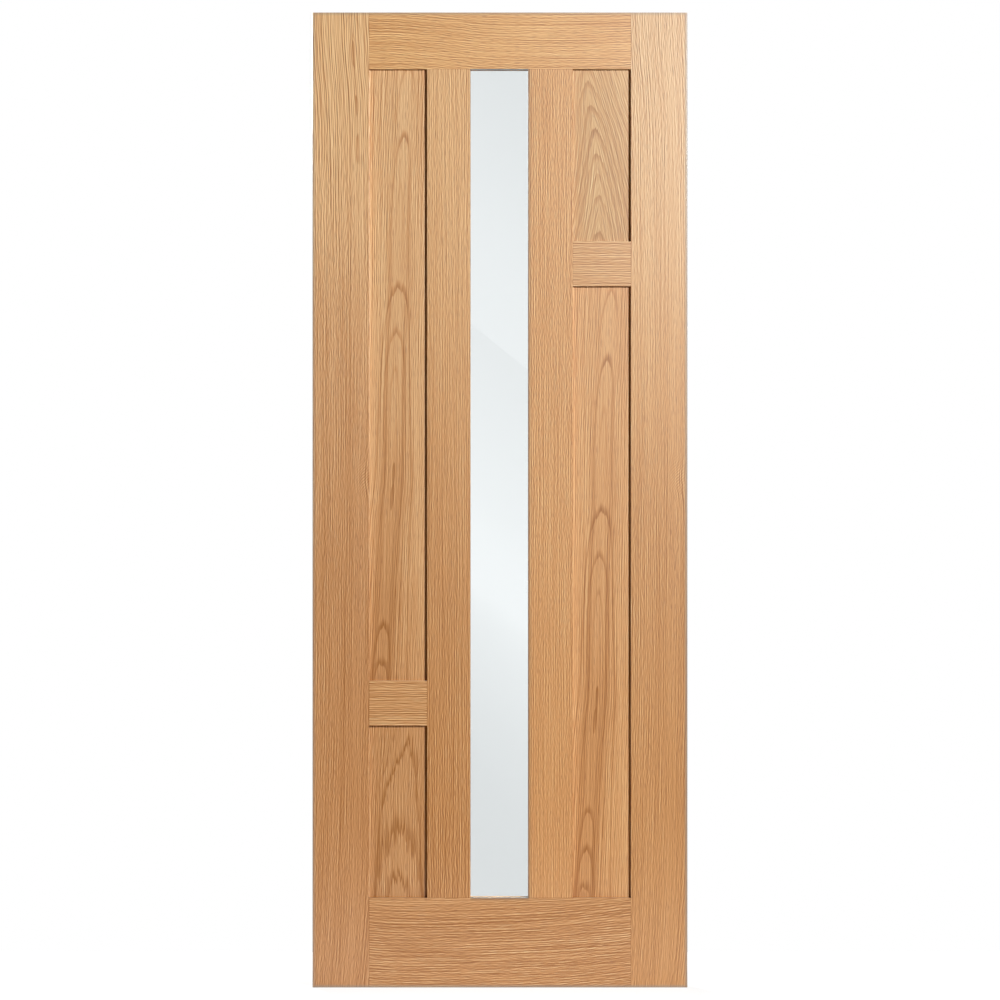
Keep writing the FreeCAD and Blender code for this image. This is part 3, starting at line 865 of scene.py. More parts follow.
def oak_surface_group(name):
    """Colour, roughness and height of lacquered oak, from the count of its growth rings."""
    shapes = ("Rings", "Flank", "Arches", "Tone", "Shoulder")
    strengths = ("Ring Strength", "Streak Strength", "Wide Streaks")
    inputs = {
        PLACE: ("Grain",),
        NUMBER: ("Seed", *shapes, *strengths),
        COLOUR: tuple(map(label_of, WOODS)),
    }
    wiring, given, result = new_group(name, inputs, {COLOUR: ("Colour",), NUMBER: ("Roughness", "Height")})
    maths = wiring.maths
    place = given["Grain"]
    seed = given["Seed"]
    flank = given["Flank"]

    early = wiring.curve(maths("FRACT", given["Rings"]), RING_LINE)
    year = wiring.add("ShaderNodeTexWhiteNoise", noise_dimensions="1D")
    wiring.feed(year.inputs["W"], maths("ADD", maths("FLOOR", given["Rings"]), seed))
    dash = wiring.ramp(wiring.noise(place, seed, DASH_GRAIN, 1.0), *DASH_RAMP)
    broken = maths("MULTIPLY", flank, maths("MULTIPLY_ADD", dash, -DASH_BREAK, DASH_BREAK))
    vigour = maths("MULTIPLY_ADD", year.outputs[0], MORE_VIGOUR, LEAST_VIGOUR)
    line = maths("MULTIPLY", maths("MULTIPLY", early, vigour), maths("SUBTRACT", 1.0, broken))
    line = maths("MULTIPLY", line, wiring.ramp(flank, *FLANK_RAMP))

    long_streak = wiring.fine_noise(place, seed, LONG_STREAK_GRAIN, STREAK_STEP)
    short_streak = wiring.fine_noise(place, seed, SHORT_STREAK_GRAIN, STREAK_STEP)
    wide_streak = wiring.noise(place, seed, WIDE_STREAK_GRAIN, 1.0)
    streak = maths("MULTIPLY_ADD", long_streak, LONG_STREAK_WEIGHT, short_streak)
    streak = maths("MULTIPLY", streak, FINE_STREAK_WEIGHT)
    streak = maths("MULTIPLY_ADD", wide_streak, given["Wide Streaks"], streak)
    sided = maths("MULTIPLY_ADD", flank, 1.0 - HEART_STREAKS, HEART_STREAKS)
    streak = maths("MULTIPLY", streak, sided)
    arched = maths("MULTIPLY", given["Arches"], 2.0, clamp=True)
    calm = maths("MULTIPLY_ADD", arched, -ARCH_CALM, 1.0)
    streak = maths("MULTIPLY", streak, maths("MULTIPLY", given["Streak Strength"], calm))
    broad = wiring.noise(place, seed, BROAD_GRAIN, 1.0)
    vessel = wiring.ramp(wiring.noise(place, seed, VESSEL_GRAIN), *VESSEL_RAMP)
    pore = maths("MULTIPLY", vessel, maths("MULTIPLY_ADD", early, 1.0 - LATE_PORES, LATE_PORES))

    dark = maths("MULTIPLY_ADD", line, given["Ring Strength"], PLAIN_LEVEL)
    dark = maths("ADD", streak, dark)
    dark = maths("MULTIPLY_ADD", broad, BROAD_TONE, dark)
    dark = maths("ADD", dark, given["Arches"])
    dark = maths("ADD", dark, given["Tone"])
    dark = maths("MULTIPLY_ADD", given["Shoulder"], JOINT_TONE, dark)
    lower = maths("MINIMUM", maths("MAXIMUM", maths("MULTIPLY", dark, 2.0), PALEST), 1.0)
    upper = maths("MULTIPLY_ADD", dark, 2.0, -1.0, clamp=True)
    wood = wiring.blend(lower, given["Pale Wood"], given["Middle Wood"])
    wood = wiring.blend(upper, wood, given["Dark Wood"])
    wood = wiring.blend(maths("MULTIPLY", pore, PORE_SHARE), wood, given["Pore"])
    wiring.feed(result["Colour"], wood)

    rough = maths("MULTIPLY_ADD", pore, PORE_ROUGHNESS, WOOD_ROUGHNESS)
    wiring.feed(result["Roughness"], maths("MULTIPLY_ADD", early, EARLY_ROUGHNESS, rough))
    height = maths("MULTIPLY_ADD", early, EARLY_SINK, maths("MULTIPLY", pore, PORE_SINK))
    wiring.feed(result["Height"], height)
    return wiring.tree


def new_material(name):
    """An empty material, and its wiring and Principled shader."""
    material = bpy.data.materials.new(name)
    material.use_nodes = True
    wiring = Wiring(material.node_tree)
    shader = material.node_tree.nodes["Principled BSDF"]
    return material, wiring, shader


def finish_node(name, material):
    """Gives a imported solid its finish."""
    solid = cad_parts[name]
    solid.data.materials.clear()
    solid.data.materials.append(material)


def board_place(wiring, node, lying):
    """Object coordinates turned to a board: across it, down from its front face and along it."""
    low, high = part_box(node)
    mapping = wiring.add("ShaderNodeMapping")
    wiring.feed(mapping.inputs["Vector"], wiring.position())
    if lying:
        mapping.inputs["Scale"].default_value = (-1.0, 1.0, 1.0)
        mapping.inputs["Rotation"].default_value = (0.0, math.pi / 2, 0.0)
        mapping.inputs["Location"].default_value = (-(low.z + high.z) / 2, -low.y, -low.x)
    else:
        mapping.inputs["Scale"].default_value = (1.0, 1.0, -1.0)
        mapping.inputs["Location"].default_value = (-(low.x + high.x) / 2, -low.y, high.z)
    return mapping.outputs[0]


def arch_lines(wiring, place, beside, along, figure):
    """How much darker the wood is along the arches of a figure, whose edges are jagged with the pores."""
    coarse = wiring.noise(place, figure.seed, COARSE_JAG_GRAIN, 1.0, RAGGED_ROUGHNESS)
    fine = wiring.noise(place, figure.seed, FINE_JAG_GRAIN)
    jag = wiring.maths("MULTIPLY_ADD", fine, ARCH_FINE_JAG, coarse)
    ragged = wiring.maths("MULTIPLY_ADD", jag, figure.jag, along)
    arch_group = kept_group("Oak Arch", oak_arch_group)
    total = 0.0
    for arch in figure.arches:
        line = wiring.group(arch_group, {
            "Beside Heart": beside,
            "Along": ragged,
            "Side": -1.0 if arch.inward else 1.0,
            **labelled(arch, ARCH_SETTINGS),
        })
        total = wiring.maths("MULTIPLY_ADD", line["Line"], arch.strength, total)
    patches = wiring.maths("MULTIPLY_ADD", fine, ARCH_PATCHES, ARCH_PATCHES, clamp=True)
    return wiring.maths("MULTIPLY", total, patches)


def ripple(wiring, place, figure):
    """The slanting ripples where the grain swirls around a knot just off the board."""
    maths = wiring.maths
    across, _, along = wiring.split(place)
    beside = maths("SUBTRACT", across, figure.swirl[0])
    below = maths("SUBTRACT", along, figure.swirl[1])
    slant = maths("MULTIPLY_ADD", beside, RIPPLE_SLANT, below)
    stray = wiring.noise(place, figure.seed, RIPPLE_GRAIN, 1.0)
    slant = maths("MULTIPLY_ADD", stray, RIPPLE_STRAY, slant)
    wave = maths("SINE", maths("MULTIPLY", slant, 2.0 * math.pi / RIPPLE_PITCH))
    beside = maths("DIVIDE", beside, RIPPLE_SIZE[0])
    below = maths("DIVIDE", below, RIPPLE_SIZE[1])
    reach = wiring.decay(wiring.square_sum(beside, below))
    return maths("MULTIPLY", wave, maths("MULTIPLY", reach, RIPPLE_TONE))


def panel_shadow_and_highlight(wiring, node, place):
    """How far a panel lies in the painted shadow at one side and the head, where its lacquer is also taken
    off, and in the painted highlight along its other side.
    """
    low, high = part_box(node)
    sight = (high.x - low.x) / 2 - PANEL_IN_GROOVE
    front = wiring.maths("SIGN", wiring.maths("SUBTRACT", (high.y - low.y) / 2, place[1]))
    across = wiring.maths("MULTIPLY", place[0], front)
    side = wiring.ramp(across, sight - PAINTED_SHADOW_SIDE[0], sight - PAINTED_SHADOW_SIDE[1])
    head = wiring.ramp(place[2], PANEL_IN_GROOVE + PAINTED_SHADOW_HEAD[0], PANEL_IN_GROOVE + PAINTED_SHADOW_HEAD[1])
    pale = wiring.ramp(across, PAINTED_HIGHLIGHT_SIDE - sight, -sight)
    return wiring.maths("MAXIMUM", side, head), pale


def shaded_edges_and_bare_ends(wiring):
    """Painted shade along the leaf's outline, painted shadow on the wood beside the glass, and where its ends
    are bare.
    """
    maths = wiring.maths
    across, through, up = wiring.split(wiring.position())
    from_top = maths("SUBTRACT", LEAF_HIGH.z, up)
    from_foot = maths("SUBTRACT", up, LEAF_LOW.z)
    near = maths("MINIMUM", maths("SUBTRACT", across, LEAF_LOW.x), from_top)
    far = maths("MINIMUM", maths("SUBTRACT", LEAF_HIGH.x, across), from_foot)
    # Painted shade darkens the wood inside the leaf's outline
    near = maths("MULTIPLY", wiring.ramp(near, RIM_WIDTH, 0.0), RIM_SHARE)
    far = maths("MULTIPLY", wiring.ramp(far, RIM_WIDTH, 0.0), FAR_RIM_SHARE)
    face = [LEAF_HIGH.y - depth for depth in RIM_DEPTH]
    face = wiring.ramp(maths("ABSOLUTE", through), *face)
    rim = maths("MULTIPLY", maths("MAXIMUM", near, far), face)
    end = wiring.ramp(maths("MINIMUM", from_top, from_foot), RIM_WIDTH, 0.0)
    bare = maths("MULTIPLY", end, maths("SUBTRACT", 1.0, face))

    # Painted shadow beside the glass, fading fast at its left and head
    right = maths("MAXIMUM", maths("SUBTRACT", across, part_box("right_muntin")[0].x), 0.0)
    below = maths("MAXIMUM", maths("SUBTRACT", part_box("bottom_rail")[1].z, up), 0.0)
    left = maths("MAXIMUM", maths("SUBTRACT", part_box("left_muntin")[1].x, across), 0.0)
    above = maths("MAXIMUM", maths("SUBTRACT", up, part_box("top_rail")[0].z), 0.0)
    away = maths("MULTIPLY_ADD", maths("ADD", left, above), GLASS_SHARPER, maths("ADD", right, below))
    shade = wiring.decay(maths("DIVIDE", away, GLASS_SHADE))
    return rim, maths("MULTIPLY", shade, GLASS_SHARE), bare


def shoulders(node):
    """How far along a member its two shoulders stand against its neighbours."""
    start, end = SHOULDERS[node]
    low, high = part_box(node)
    if FIGURES[node].lying:
        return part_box(start)[1].x - low.x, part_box(end)[0].x - low.x
    return high.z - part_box(start)[0].z, high.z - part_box(end)[1].z


def joint_lines(wiring, node, along):
    """The thin lines across a member where its shoulders stand against its neighbours."""
    gaps = [wiring.maths("ABSOLUTE", wiring.maths("SUBTRACT", along, place)) for place in shoulders(node)]
    return wiring.ramp(wiring.maths("MINIMUM", *gaps), *JOINT_LINE)


def count_rings(wiring, place, along, heart, figure):
    """The growth rings of a board, its flank and the place in its grain."""
    return wiring.group(kept_group("Oak Rings", oak_rings_group), {
        "Place": place,
        "Heart Offset": heart,
        "Heart Rings": wiring.course(along, figure.heart_rings),
        "Taper": wiring.course(along, figure.taper),
        "Run": wiring.course(along, figure.stretch),
        **labelled(figure, RING_SETTINGS),
        **dict(zip(SWIRL_LABELS, figure.swirl)),
    })


def board_tone(wiring, place, along, beside, figure):
    """How far a board is darker than plain oak, with its band at the heart and the ripples at a swirl."""
    maths = wiring.maths
    tone = wiring.course(along, figure.tone)
    if figure.swirl[2]:
        tone = maths("ADD", tone, ripple(wiring, place, figure))
    if len(figure.heart_tone) > 1:
        off = maths("DIVIDE", beside, HEART_BAND)
        band = wiring.decay(maths("MULTIPLY", off, off))
        tone = maths("MULTIPLY_ADD", band, wiring.course(along, figure.heart_tone), tone)
    return tone


def oak_material(node, finish):
    """The oak of one piece, with the figure that it was cut with."""
    figure = FIGURES[node]
    material, wiring, shader = new_material(node + "_oak")
    maths = wiring.maths
    place = board_place(wiring, node, figure.lying)
    parts = wiring.split(place)
    along = parts[2]
    heart = wiring.course(along, figure.heart_offset)
    beside = maths("SUBTRACT", parts[0], heart)
    rings = count_rings(wiring, place, along, heart, figure)
    tone = board_tone(wiring, place, along, beside, figure)
    lacquer = finish.lacquer
    if node in PANELS:
        corner, pale = panel_shadow_and_highlight(wiring, node, parts)
        # Painted shadow: the corner at one side and the head is darker and loses its lacquer
        tone = maths("MULTIPLY_ADD", corner, PAINTED_SHADOW_TONE, tone)
        # Painted highlight: the other side of the panel is paler
        tone = maths("MULTIPLY_ADD", pale, PAINTED_HIGHLIGHT_TONE, tone)
        lacquer = maths("MULTIPLY_ADD", corner, -finish.lacquer, finish.lacquer)

    values = {
        "Grain": rings["Grain"],
        "Seed": figure.seed,
        "Rings": rings["Rings"],
        "Flank": rings["Flank"],
        "Tone": tone,
        "Ring Strength": finish.ring_strength * figure.contrast,
        "Streak Strength": maths("MULTIPLY", wiring.course(along, figure.streaks), finish.streak_strength),
        "Wide Streaks": figure.wide,
    }
    if figure.arches:
        values["Arches"] = arch_lines(wiring, place, beside, along, figure)
    if node in SHOULDERS:
        values["Shoulder"] = joint_lines(wiring, node, along)
    for label, wood in labelled(finish, WOODS).items():
        values[label] = opaque([part * share for part, share in zip(wood, figure.cast)])
    surface = wiring.group(kept_group("Oak Surface", oak_surface_group), values)

    colour = surface["Colour"]
    if figure.drift:
        share = maths("DIVIDE", along, DRIFT_RUN, clamp=True)
        drift = wiring.blend(share, (1.0, 1.0, 1.0, 1.0), opaque(figure.drift))
        colour = wiring.blend(1.0, colour, drift, "MULTIPLY")
    if node in FRAMING:
        rim, shade, bare = shaded_edges_and_bare_ends(wiring)
        lacquer = maths("MULTIPLY_ADD", bare, -finish.lacquer, finish.lacquer)
        # Painted shade along the leaf's outline
        colour = wiring.blend(rim, colour, opaque(finish.outline_shade))
        # Painted shadow beside the glass
        colour = wiring.blend(shade, colour, opaque(finish.shade))
    wiring.feed_named(shader, {
        "Base Color": colour,
        "Roughness": surface["Roughness"],
        "Coat Weight": lacquer,
        "Coat Roughness": LACQUER_ROUGHNESS,
        "Coat IOR": LACQUER_IOR,
        "Specular IOR Level": WOOD_SPECULAR,
    })
    wiring.bump(shader, surface["Height"], strength=0.15, distance=0.0002)
    return material


def glass_material(finish):
    """Clear float glass with a faint green cast, which lets the lamps through."""
    material, wiring, shader = new_material("clear_glass")
    tint = opaque(finish.glass_tint)
    wiring.feed_named(shader, {
        "Base Color": tint,
        "Roughness": 0.0,
        "IOR": GLASS_IOR,
        "Transmission Weight": 1.0,
    })
    wave = wiring.noise(wiring.position(), seed=1.0, grain=PANE_WAVE_GRAIN, detail=1.0)
    wiring.bump(shader, wave, strength=0.05, distance=0.0005)
    clear = wiring.add("ShaderNodeBsdfTransparent")
    clear.inputs[0].default_value = tint
    shadow = wiring.add("ShaderNodeLightPath").outputs["Is Shadow Ray"]
    wiring.show(wiring.mix_shaders(shadow, shader.outputs[0], clear.outputs[0]))
    return material


def spacer_material(finish):
    """Mill aluminium with fine roll marks."""
    material, wiring, shader = new_material("mill_aluminium")
    place = wiring.position()
    marks = wiring.noise(place, seed=2.0, grain=ROLL_MARK_GRAIN, detail=2.0)
    dull = wiring.noise(place, seed=5.0, grain=DULL_PATCH_GRAIN, detail=2.0)
    share = wiring.around(marks, middle=0.4, swing=1.2, clamp=True)
    worn = opaque(finish.aluminium, WORN_SHARE)
    wiring.feed_named(shader, {
        "Base Color": wiring.blend(share, opaque(finish.aluminium), worn),
        "Roughness": wiring.around(dull, middle=0.42, swing=0.3),
        "Metallic": 1.0,
    })
    wiring.bump(shader, marks, strength=0.2, distance=0.0001)
    return material


def slot_material(finish):
    """Painted shade for the inside of a breather slot, with dust of the drying beads."""
    material, wiring, shader = new_material("slot_shadow")
    dust = wiring.noise(wiring.position(), seed=4.0, grain=SLOT_DUST_GRAIN, detail=2.0)
    # Painted shade deep in the slot
    deep = opaque(finish.aluminium, SLOT_SHARE)
    dusty = opaque(finish.aluminium, DUST_SHARE)
    wiring.feed_named(shader, {
        "Base Color": wiring.blend(wiring.ramp(dust, *DUST_RAMP), deep, dusty),
        "Roughness": wiring.around(dust, middle=0.75, swing=0.3),
    })
    return material


def tape_material(finish):
    """Black closed-cell foam, with the cut cells showing as small pits darkened by painted shade."""
    material, wiring, shader = new_material("black_foam_tape")
    cells = wiring.noise(wiring.position(), seed=3.0, grain=FOAM_CELL_GRAIN, detail=2.0)
    raised = wiring.ramp(cells, *PIT_RAMP)
    # Painted shade in the pits of the foam
    pit = opaque(finish.foam, PIT_SHARE)
    wiring.feed_named(shader, {
        "Base Color": wiring.blend(raised, pit, opaque(finish.foam)),
        "Roughness": wiring.around(raised, middle=0.9, swing=-0.2),
    })
    wiring.bump(shader, raised, strength=0.5, distance=0.0002)
    return material


def colour_setting(name, description, default):
    """A colour that a user can change."""
    return bpy.props.FloatVectorProperty(name=name, description=description, subtype="COLOR", default=default)


def length_setting(name, description, default):
    """A length that a user can change."""
    return bpy.props.FloatProperty(name=name, description=description, unit="LENGTH", default=default)


class DoorFinish(bpy.types.PropertyGroup):
    """Colours and strengths of the leaf's finishes."""

    pale_wood: colour_setting(
        "Pale Wood", "Oak between the dark lines of its growth rings", (0.755, 0.487, 0.236)
    )
    middle_wood: colour_setting("Middle Wood", "Oak of middling tone", (0.555, 0.270, 0.093))
    dark_wood: colour_setting("Dark Wood", "Oak in the porous early part of a ring", (0.30, 0.100, 0.004))
    pore: colour_setting("Pore", "Open pores of the oak", (0.21, 0.055, 0.002))
    # Painted shade along the leaf's outline
    outline_shade: colour_setting(
        "Outline Shade", "Colour of wood that handling and grime have dulled", (0.23, 0.20, 0.16)
    )
    # Painted shadow beside the glass
    shade: colour_setting("Grime", "Colour of the grime that gathers beside the glass", (0.10, 0.08, 0.06))
    glass_tint: colour_setting("Glass Tint", "Colour of light through one pane", (0.907, 0.927, 0.931))
    aluminium: colour_setting("Aluminium", "Spacer bar and pin heads", (0.70, 0.71, 0.72))
    foam: colour_setting("Foam", "Glazing tape", (0.035, 0.035, 0.038))
    ring_strength: bpy.props.FloatProperty(
        name="Ring Strength",
        description="How much darker the early part of a ring is",
        default=0.5,
        min=0.0,
        max=2.0,
    )
    streak_strength: bpy.props.FloatProperty(
        name="Streak Strength",
        description="Contrast of the fine streaks along the grain",
        default=0.74,
        min=0.0,
        max=5.0,
    )
    lacquer: bpy.props.FloatProperty(
        name="Lacquer",
        description="Weight of the satin lacquer coat",
        subtype="FACTOR",
        default=0.95,
        min=0.0,
        max=1.0,
    )


class DoorDetail(bpy.types.PropertyGroup):
    """Sizes of the small repeated details."""

    pin_spacing: length_setting("Pin Spacing", "Distance between the pins that hold a glazing bead", 0.16)
    pin_margin: length_setting(
        "Pin Margin", "Distance of the first and last pin from the ends of a bead", 0.032
    )
    pin_setback: length_setting("Pin Setback", "Distance of the pins from the glass side of a bead", 0.0045)
    pin_radius: length_setting("Pin Radius", "Radius of a pin head", 0.0009)
    pin_rise: length_setting("Pin Rise", "How far a pin head stands out of the bead", 0.0003)
    slot_spacing: length_setting(
        "Slot Spacing", "Distance between the breather slots of the spacer bar", 0.010
    )
    slot_length: length_setting("Slot Length", "Length of one breather slot", 0.004)
    slot_width: length_setting("Slot Width", "Width of one breather slot", 0.0007)
    bar_height: length_setting(
        "Bar Height", "Height of the spacer bar, from the edge of the panes inwards", 0.007
    )


class DoorStage(bpy.types.PropertyGroup):
    """Camera, lamps and floor."""

    camera_distance: length_setting(
        "Camera Distance", "Distance of the camera from the middle of the leaf", 8.0
    )
    view_height: length_setting(
        "View Height", "Height of what the camera frames at the face of the leaf", 2.0318
    )
    key_power: bpy.props.FloatProperty(
        name="Key Power",
        description="Power of the key lamp",
        unit="POWER",
        default=445.0,
        min=0.0,
    )
    back_power: bpy.props.FloatProperty(
        name="Back Power",
        description="Power of the lamp behind the leaf",
        unit="POWER",
        default=400.0,
        min=0.0,
    )
    fill_level: bpy.props.FloatProperty(
        name="Fill Level",
        description="Level of the even light from all around",
        default=0.06,
        min=0.0,
    )
    floor_colour: colour_setting("Floor Colour", "Colour of the pale floor", (0.88, 0.88, 0.87))


def aim(thing, target):
    """Turns a lamp or a camera so that it looks at a point."""
    thing.rotation_euler = (Vector(target) - thing.location).to_track_quat("-Z", "Y").to_euler()


def link(thing):
    """Puts a new object in the scene."""
    bpy.context.scene.collection.objects.link(thing)
    return thing


def flat_sheet(name, corners):
    """A flat four-cornered thing for the stage."""
    mesh = bpy.data.meshes.new(name)
    mesh.from_pydata(corners, [], [(0, 1, 2, 3)])
    return link(bpy.data.objects.new(name, mesh))


class DOOR_OT_framing(bpy.types.Operator):
    """Finishes the stiles, rails and muntins, and the lippings along the stiles"""

    bl_idname = "door.framing"
    bl_label = "Finish Framing"

    def execute(self, context):
        finish = context.scene.door_finish
        for node in FRAMING:
            finish_node(node, oak_material(node, finish))
        for strip, stile in VENEERED_WITH.items():
            finish_node(strip, bpy.data.materials[stile + "_oak"])
        return {"FINISHED"}


class DOOR_OT_panels(bpy.types.Operator):
    """Finishes the four flat panels"""

    bl_idname = "door.panels"
    bl_label = "Finish Panels"

    def execute(self, context):
        finish = context.scene.door_finish
        for node in PANELS:
            finish_node(node, oak_material(node, finish))
        return {"FINISHED"}


class DOOR_OT_glazing(bpy.types.Operator):
    """Finishes the panes, the bar between them and the glazing tapes"""

    bl_idname = "door.glazing"
    bl_label = "Finish Glazing"

    def execute(self, context):
        finish = context.scene.door_finish
        glass = glass_material(finish)
        for node in ("front_pane", "back_pane"):
            finish_node(node, glass)
        finish_node("spacer_bar", spacer_material(finish))
        tape = tape_material(finish)
        for node in ("front_glazing_tape", "back_glazing_tape"):
            finish_node(node, tape)
        return {"FINISHED"}


class DOOR_OT_beads(bpy.types.Operator):
    """Finishes the glazing beads on the back"""

    bl_idname = "door.beads"
    bl_label = "Finish Beads"

    def execute(self, context):
        finish = context.scene.door_finish
        for node in BEADS:
            finish_node(node, oak_material(node, finish))
        return {"FINISHED"}


def run_of_lenses_tree(name):
    """A straight run of small lens shapes at even steps."""
    inputs = {
        PLACE: ("First", "Step", "Half Size"),
        "NodeSocketInt": ("Count",),
        "NodeSocketMaterial": ("Finish",),
    }
    outputs = {"NodeSocketGeometry": ("Geometry",)}
    wiring, given, result = new_group(name, inputs, outputs, "GeometryNodeTree")
    wiring.tree.is_modifier = True
    line = wiring.add("GeometryNodeMeshLine", mode="OFFSET")
    wiring.feed_named(line, {
        "Count": given["Count"],
        "Start Location": given["First"],
        "Offset": given["Step"],
    })
    lens = wiring.add("GeometryNodeMeshUVSphere")
    wiring.feed_named(lens, {"Segments": LENS_SEGMENTS, "Rings": LENS_RINGS, "Radius": 1.0})
    smooth = wiring.add("GeometryNodeSetShadeSmooth")
    wiring.feed(smooth.inputs["Geometry"], lens.outputs["Mesh"])
    copies = wiring.add("GeometryNodeInstanceOnPoints")
    wiring.feed_named(copies, {
        "Points": line.outputs["Mesh"],
        "Instance": smooth.outputs["Geometry"],
        "Scale": given["Half Size"],
    })
    real = wiring.add("GeometryNodeRealizeInstances")
    wiring.feed(real.inputs["Geometry"], copies.outputs["Instances"])
    finish = wiring.add("GeometryNodeSetMaterial")
    wiring.feed_named(finish, {"Geometry": real.outputs["Geometry"], "Material": given["Finish"]})
    wiring.feed(result["Geometry"], finish.outputs["Geometry"])
    return wiring.tree


def run_of_lenses(name, ends, spacing, half_size, material):
    """Adds a plain mesh of lenses from one end of a run to the other, which rides with the leaf."""
    first, last = (Vector(end) for end in ends)
    gaps = max(1, round((last - first).length / spacing))
    tree = kept_group("Run Of Lenses", run_of_lenses_tree)
    values = {
        "First": first,
        "Step": (last - first) / gaps,
        "Count": gaps + 1,
        "Half Size": half_size,
        "Finish": material,
    }
    piece = bpy.data.objects.new(name, bpy.data.meshes.new(name))
    maker = piece.modifiers.new("run", "NODES")
    maker.node_group = tree
    for socket in tree.interface.items_tree:
        if socket.in_out == "INPUT":
            maker[socket.identifier] = values[socket.name]
    link(piece)
    ready = piece.evaluated_get(bpy.context.evaluated_depsgraph_get())
    mesh = bpy.data.meshes.new_from_object(ready)
    piece.modifiers.remove(maker)
    piece.data = mesh
    mesh.name = name
    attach(piece, "root")


class DOOR_OT_pins(bpy.types.Operator):
    """Drives a row of pins through each glazing bead, with their heads towards the opening"""

    bl_idname = "door.pins"
    bl_label = "Add Bead Pins"

    def execute(self, context):
        detail = context.scene.door_detail
        metal = bpy.data.materials["mill_aluminium"]
        radius = detail.pin_radius
        margin = detail.pin_margin
        for bead in BEADS:
            low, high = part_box(bead)
            depth = low.y + detail.pin_setback
            if FIGURES[bead].lying:
                face = low.z if bead == "top_bead" else high.z
                ends = ((low.x + margin, depth, face), (high.x - margin, depth, face))
                half_size = (radius, radius, detail.pin_rise)
            else:
                face = high.x if bead == "left_bead" else low.x
                ends = ((face, depth, low.z + margin), (face, depth, high.z - margin))
                half_size = (detail.pin_rise, radius, radius)
            run_of_lenses(bead + "_pins", ends, detail.pin_spacing, half_size, metal)
        return {"FINISHED"}


class DOOR_OT_slots(bpy.types.Operator):
    """Lays dark lenses of painted shade for the breather slots along the bar between the panes"""

    bl_idname = "door.slots"
    bl_label = "Add Spacer Slots"

    def execute(self, context):
        detail = context.scene.door_detail
        dark = slot_material(context.scene.door_finish)
        low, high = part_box("spacer_bar")
        inset = Vector((detail.bar_height, 0.0, detail.bar_height))
        inner_low = low + inset
        inner_high = high - inset
        depth = (low.y + high.y) / 2
        clear = detail.slot_spacing
        half_length = detail.slot_length / 2
        half_width = detail.slot_width / 2
        for side, face in (("left", inner_low.x), ("right", inner_high.x)):
            ends = ((face, depth, inner_low.z + clear), (face, depth, inner_high.z - clear))
            half_size = (SLOT_RISE, half_width, half_length)
            run_of_lenses(side + "_spacer_slots", ends, detail.slot_spacing, half_size, dark)
        for side, face in (("top", inner_high.z), ("bottom", inner_low.z)):
            ends = ((inner_low.x + clear, depth, face), (inner_high.x - clear, depth, face))
            half_size = (half_length, half_width, SLOT_RISE)
            run_of_lenses(side + "_spacer_slots", ends, detail.slot_spacing, half_size, dark)
        return {"FINISHED"}


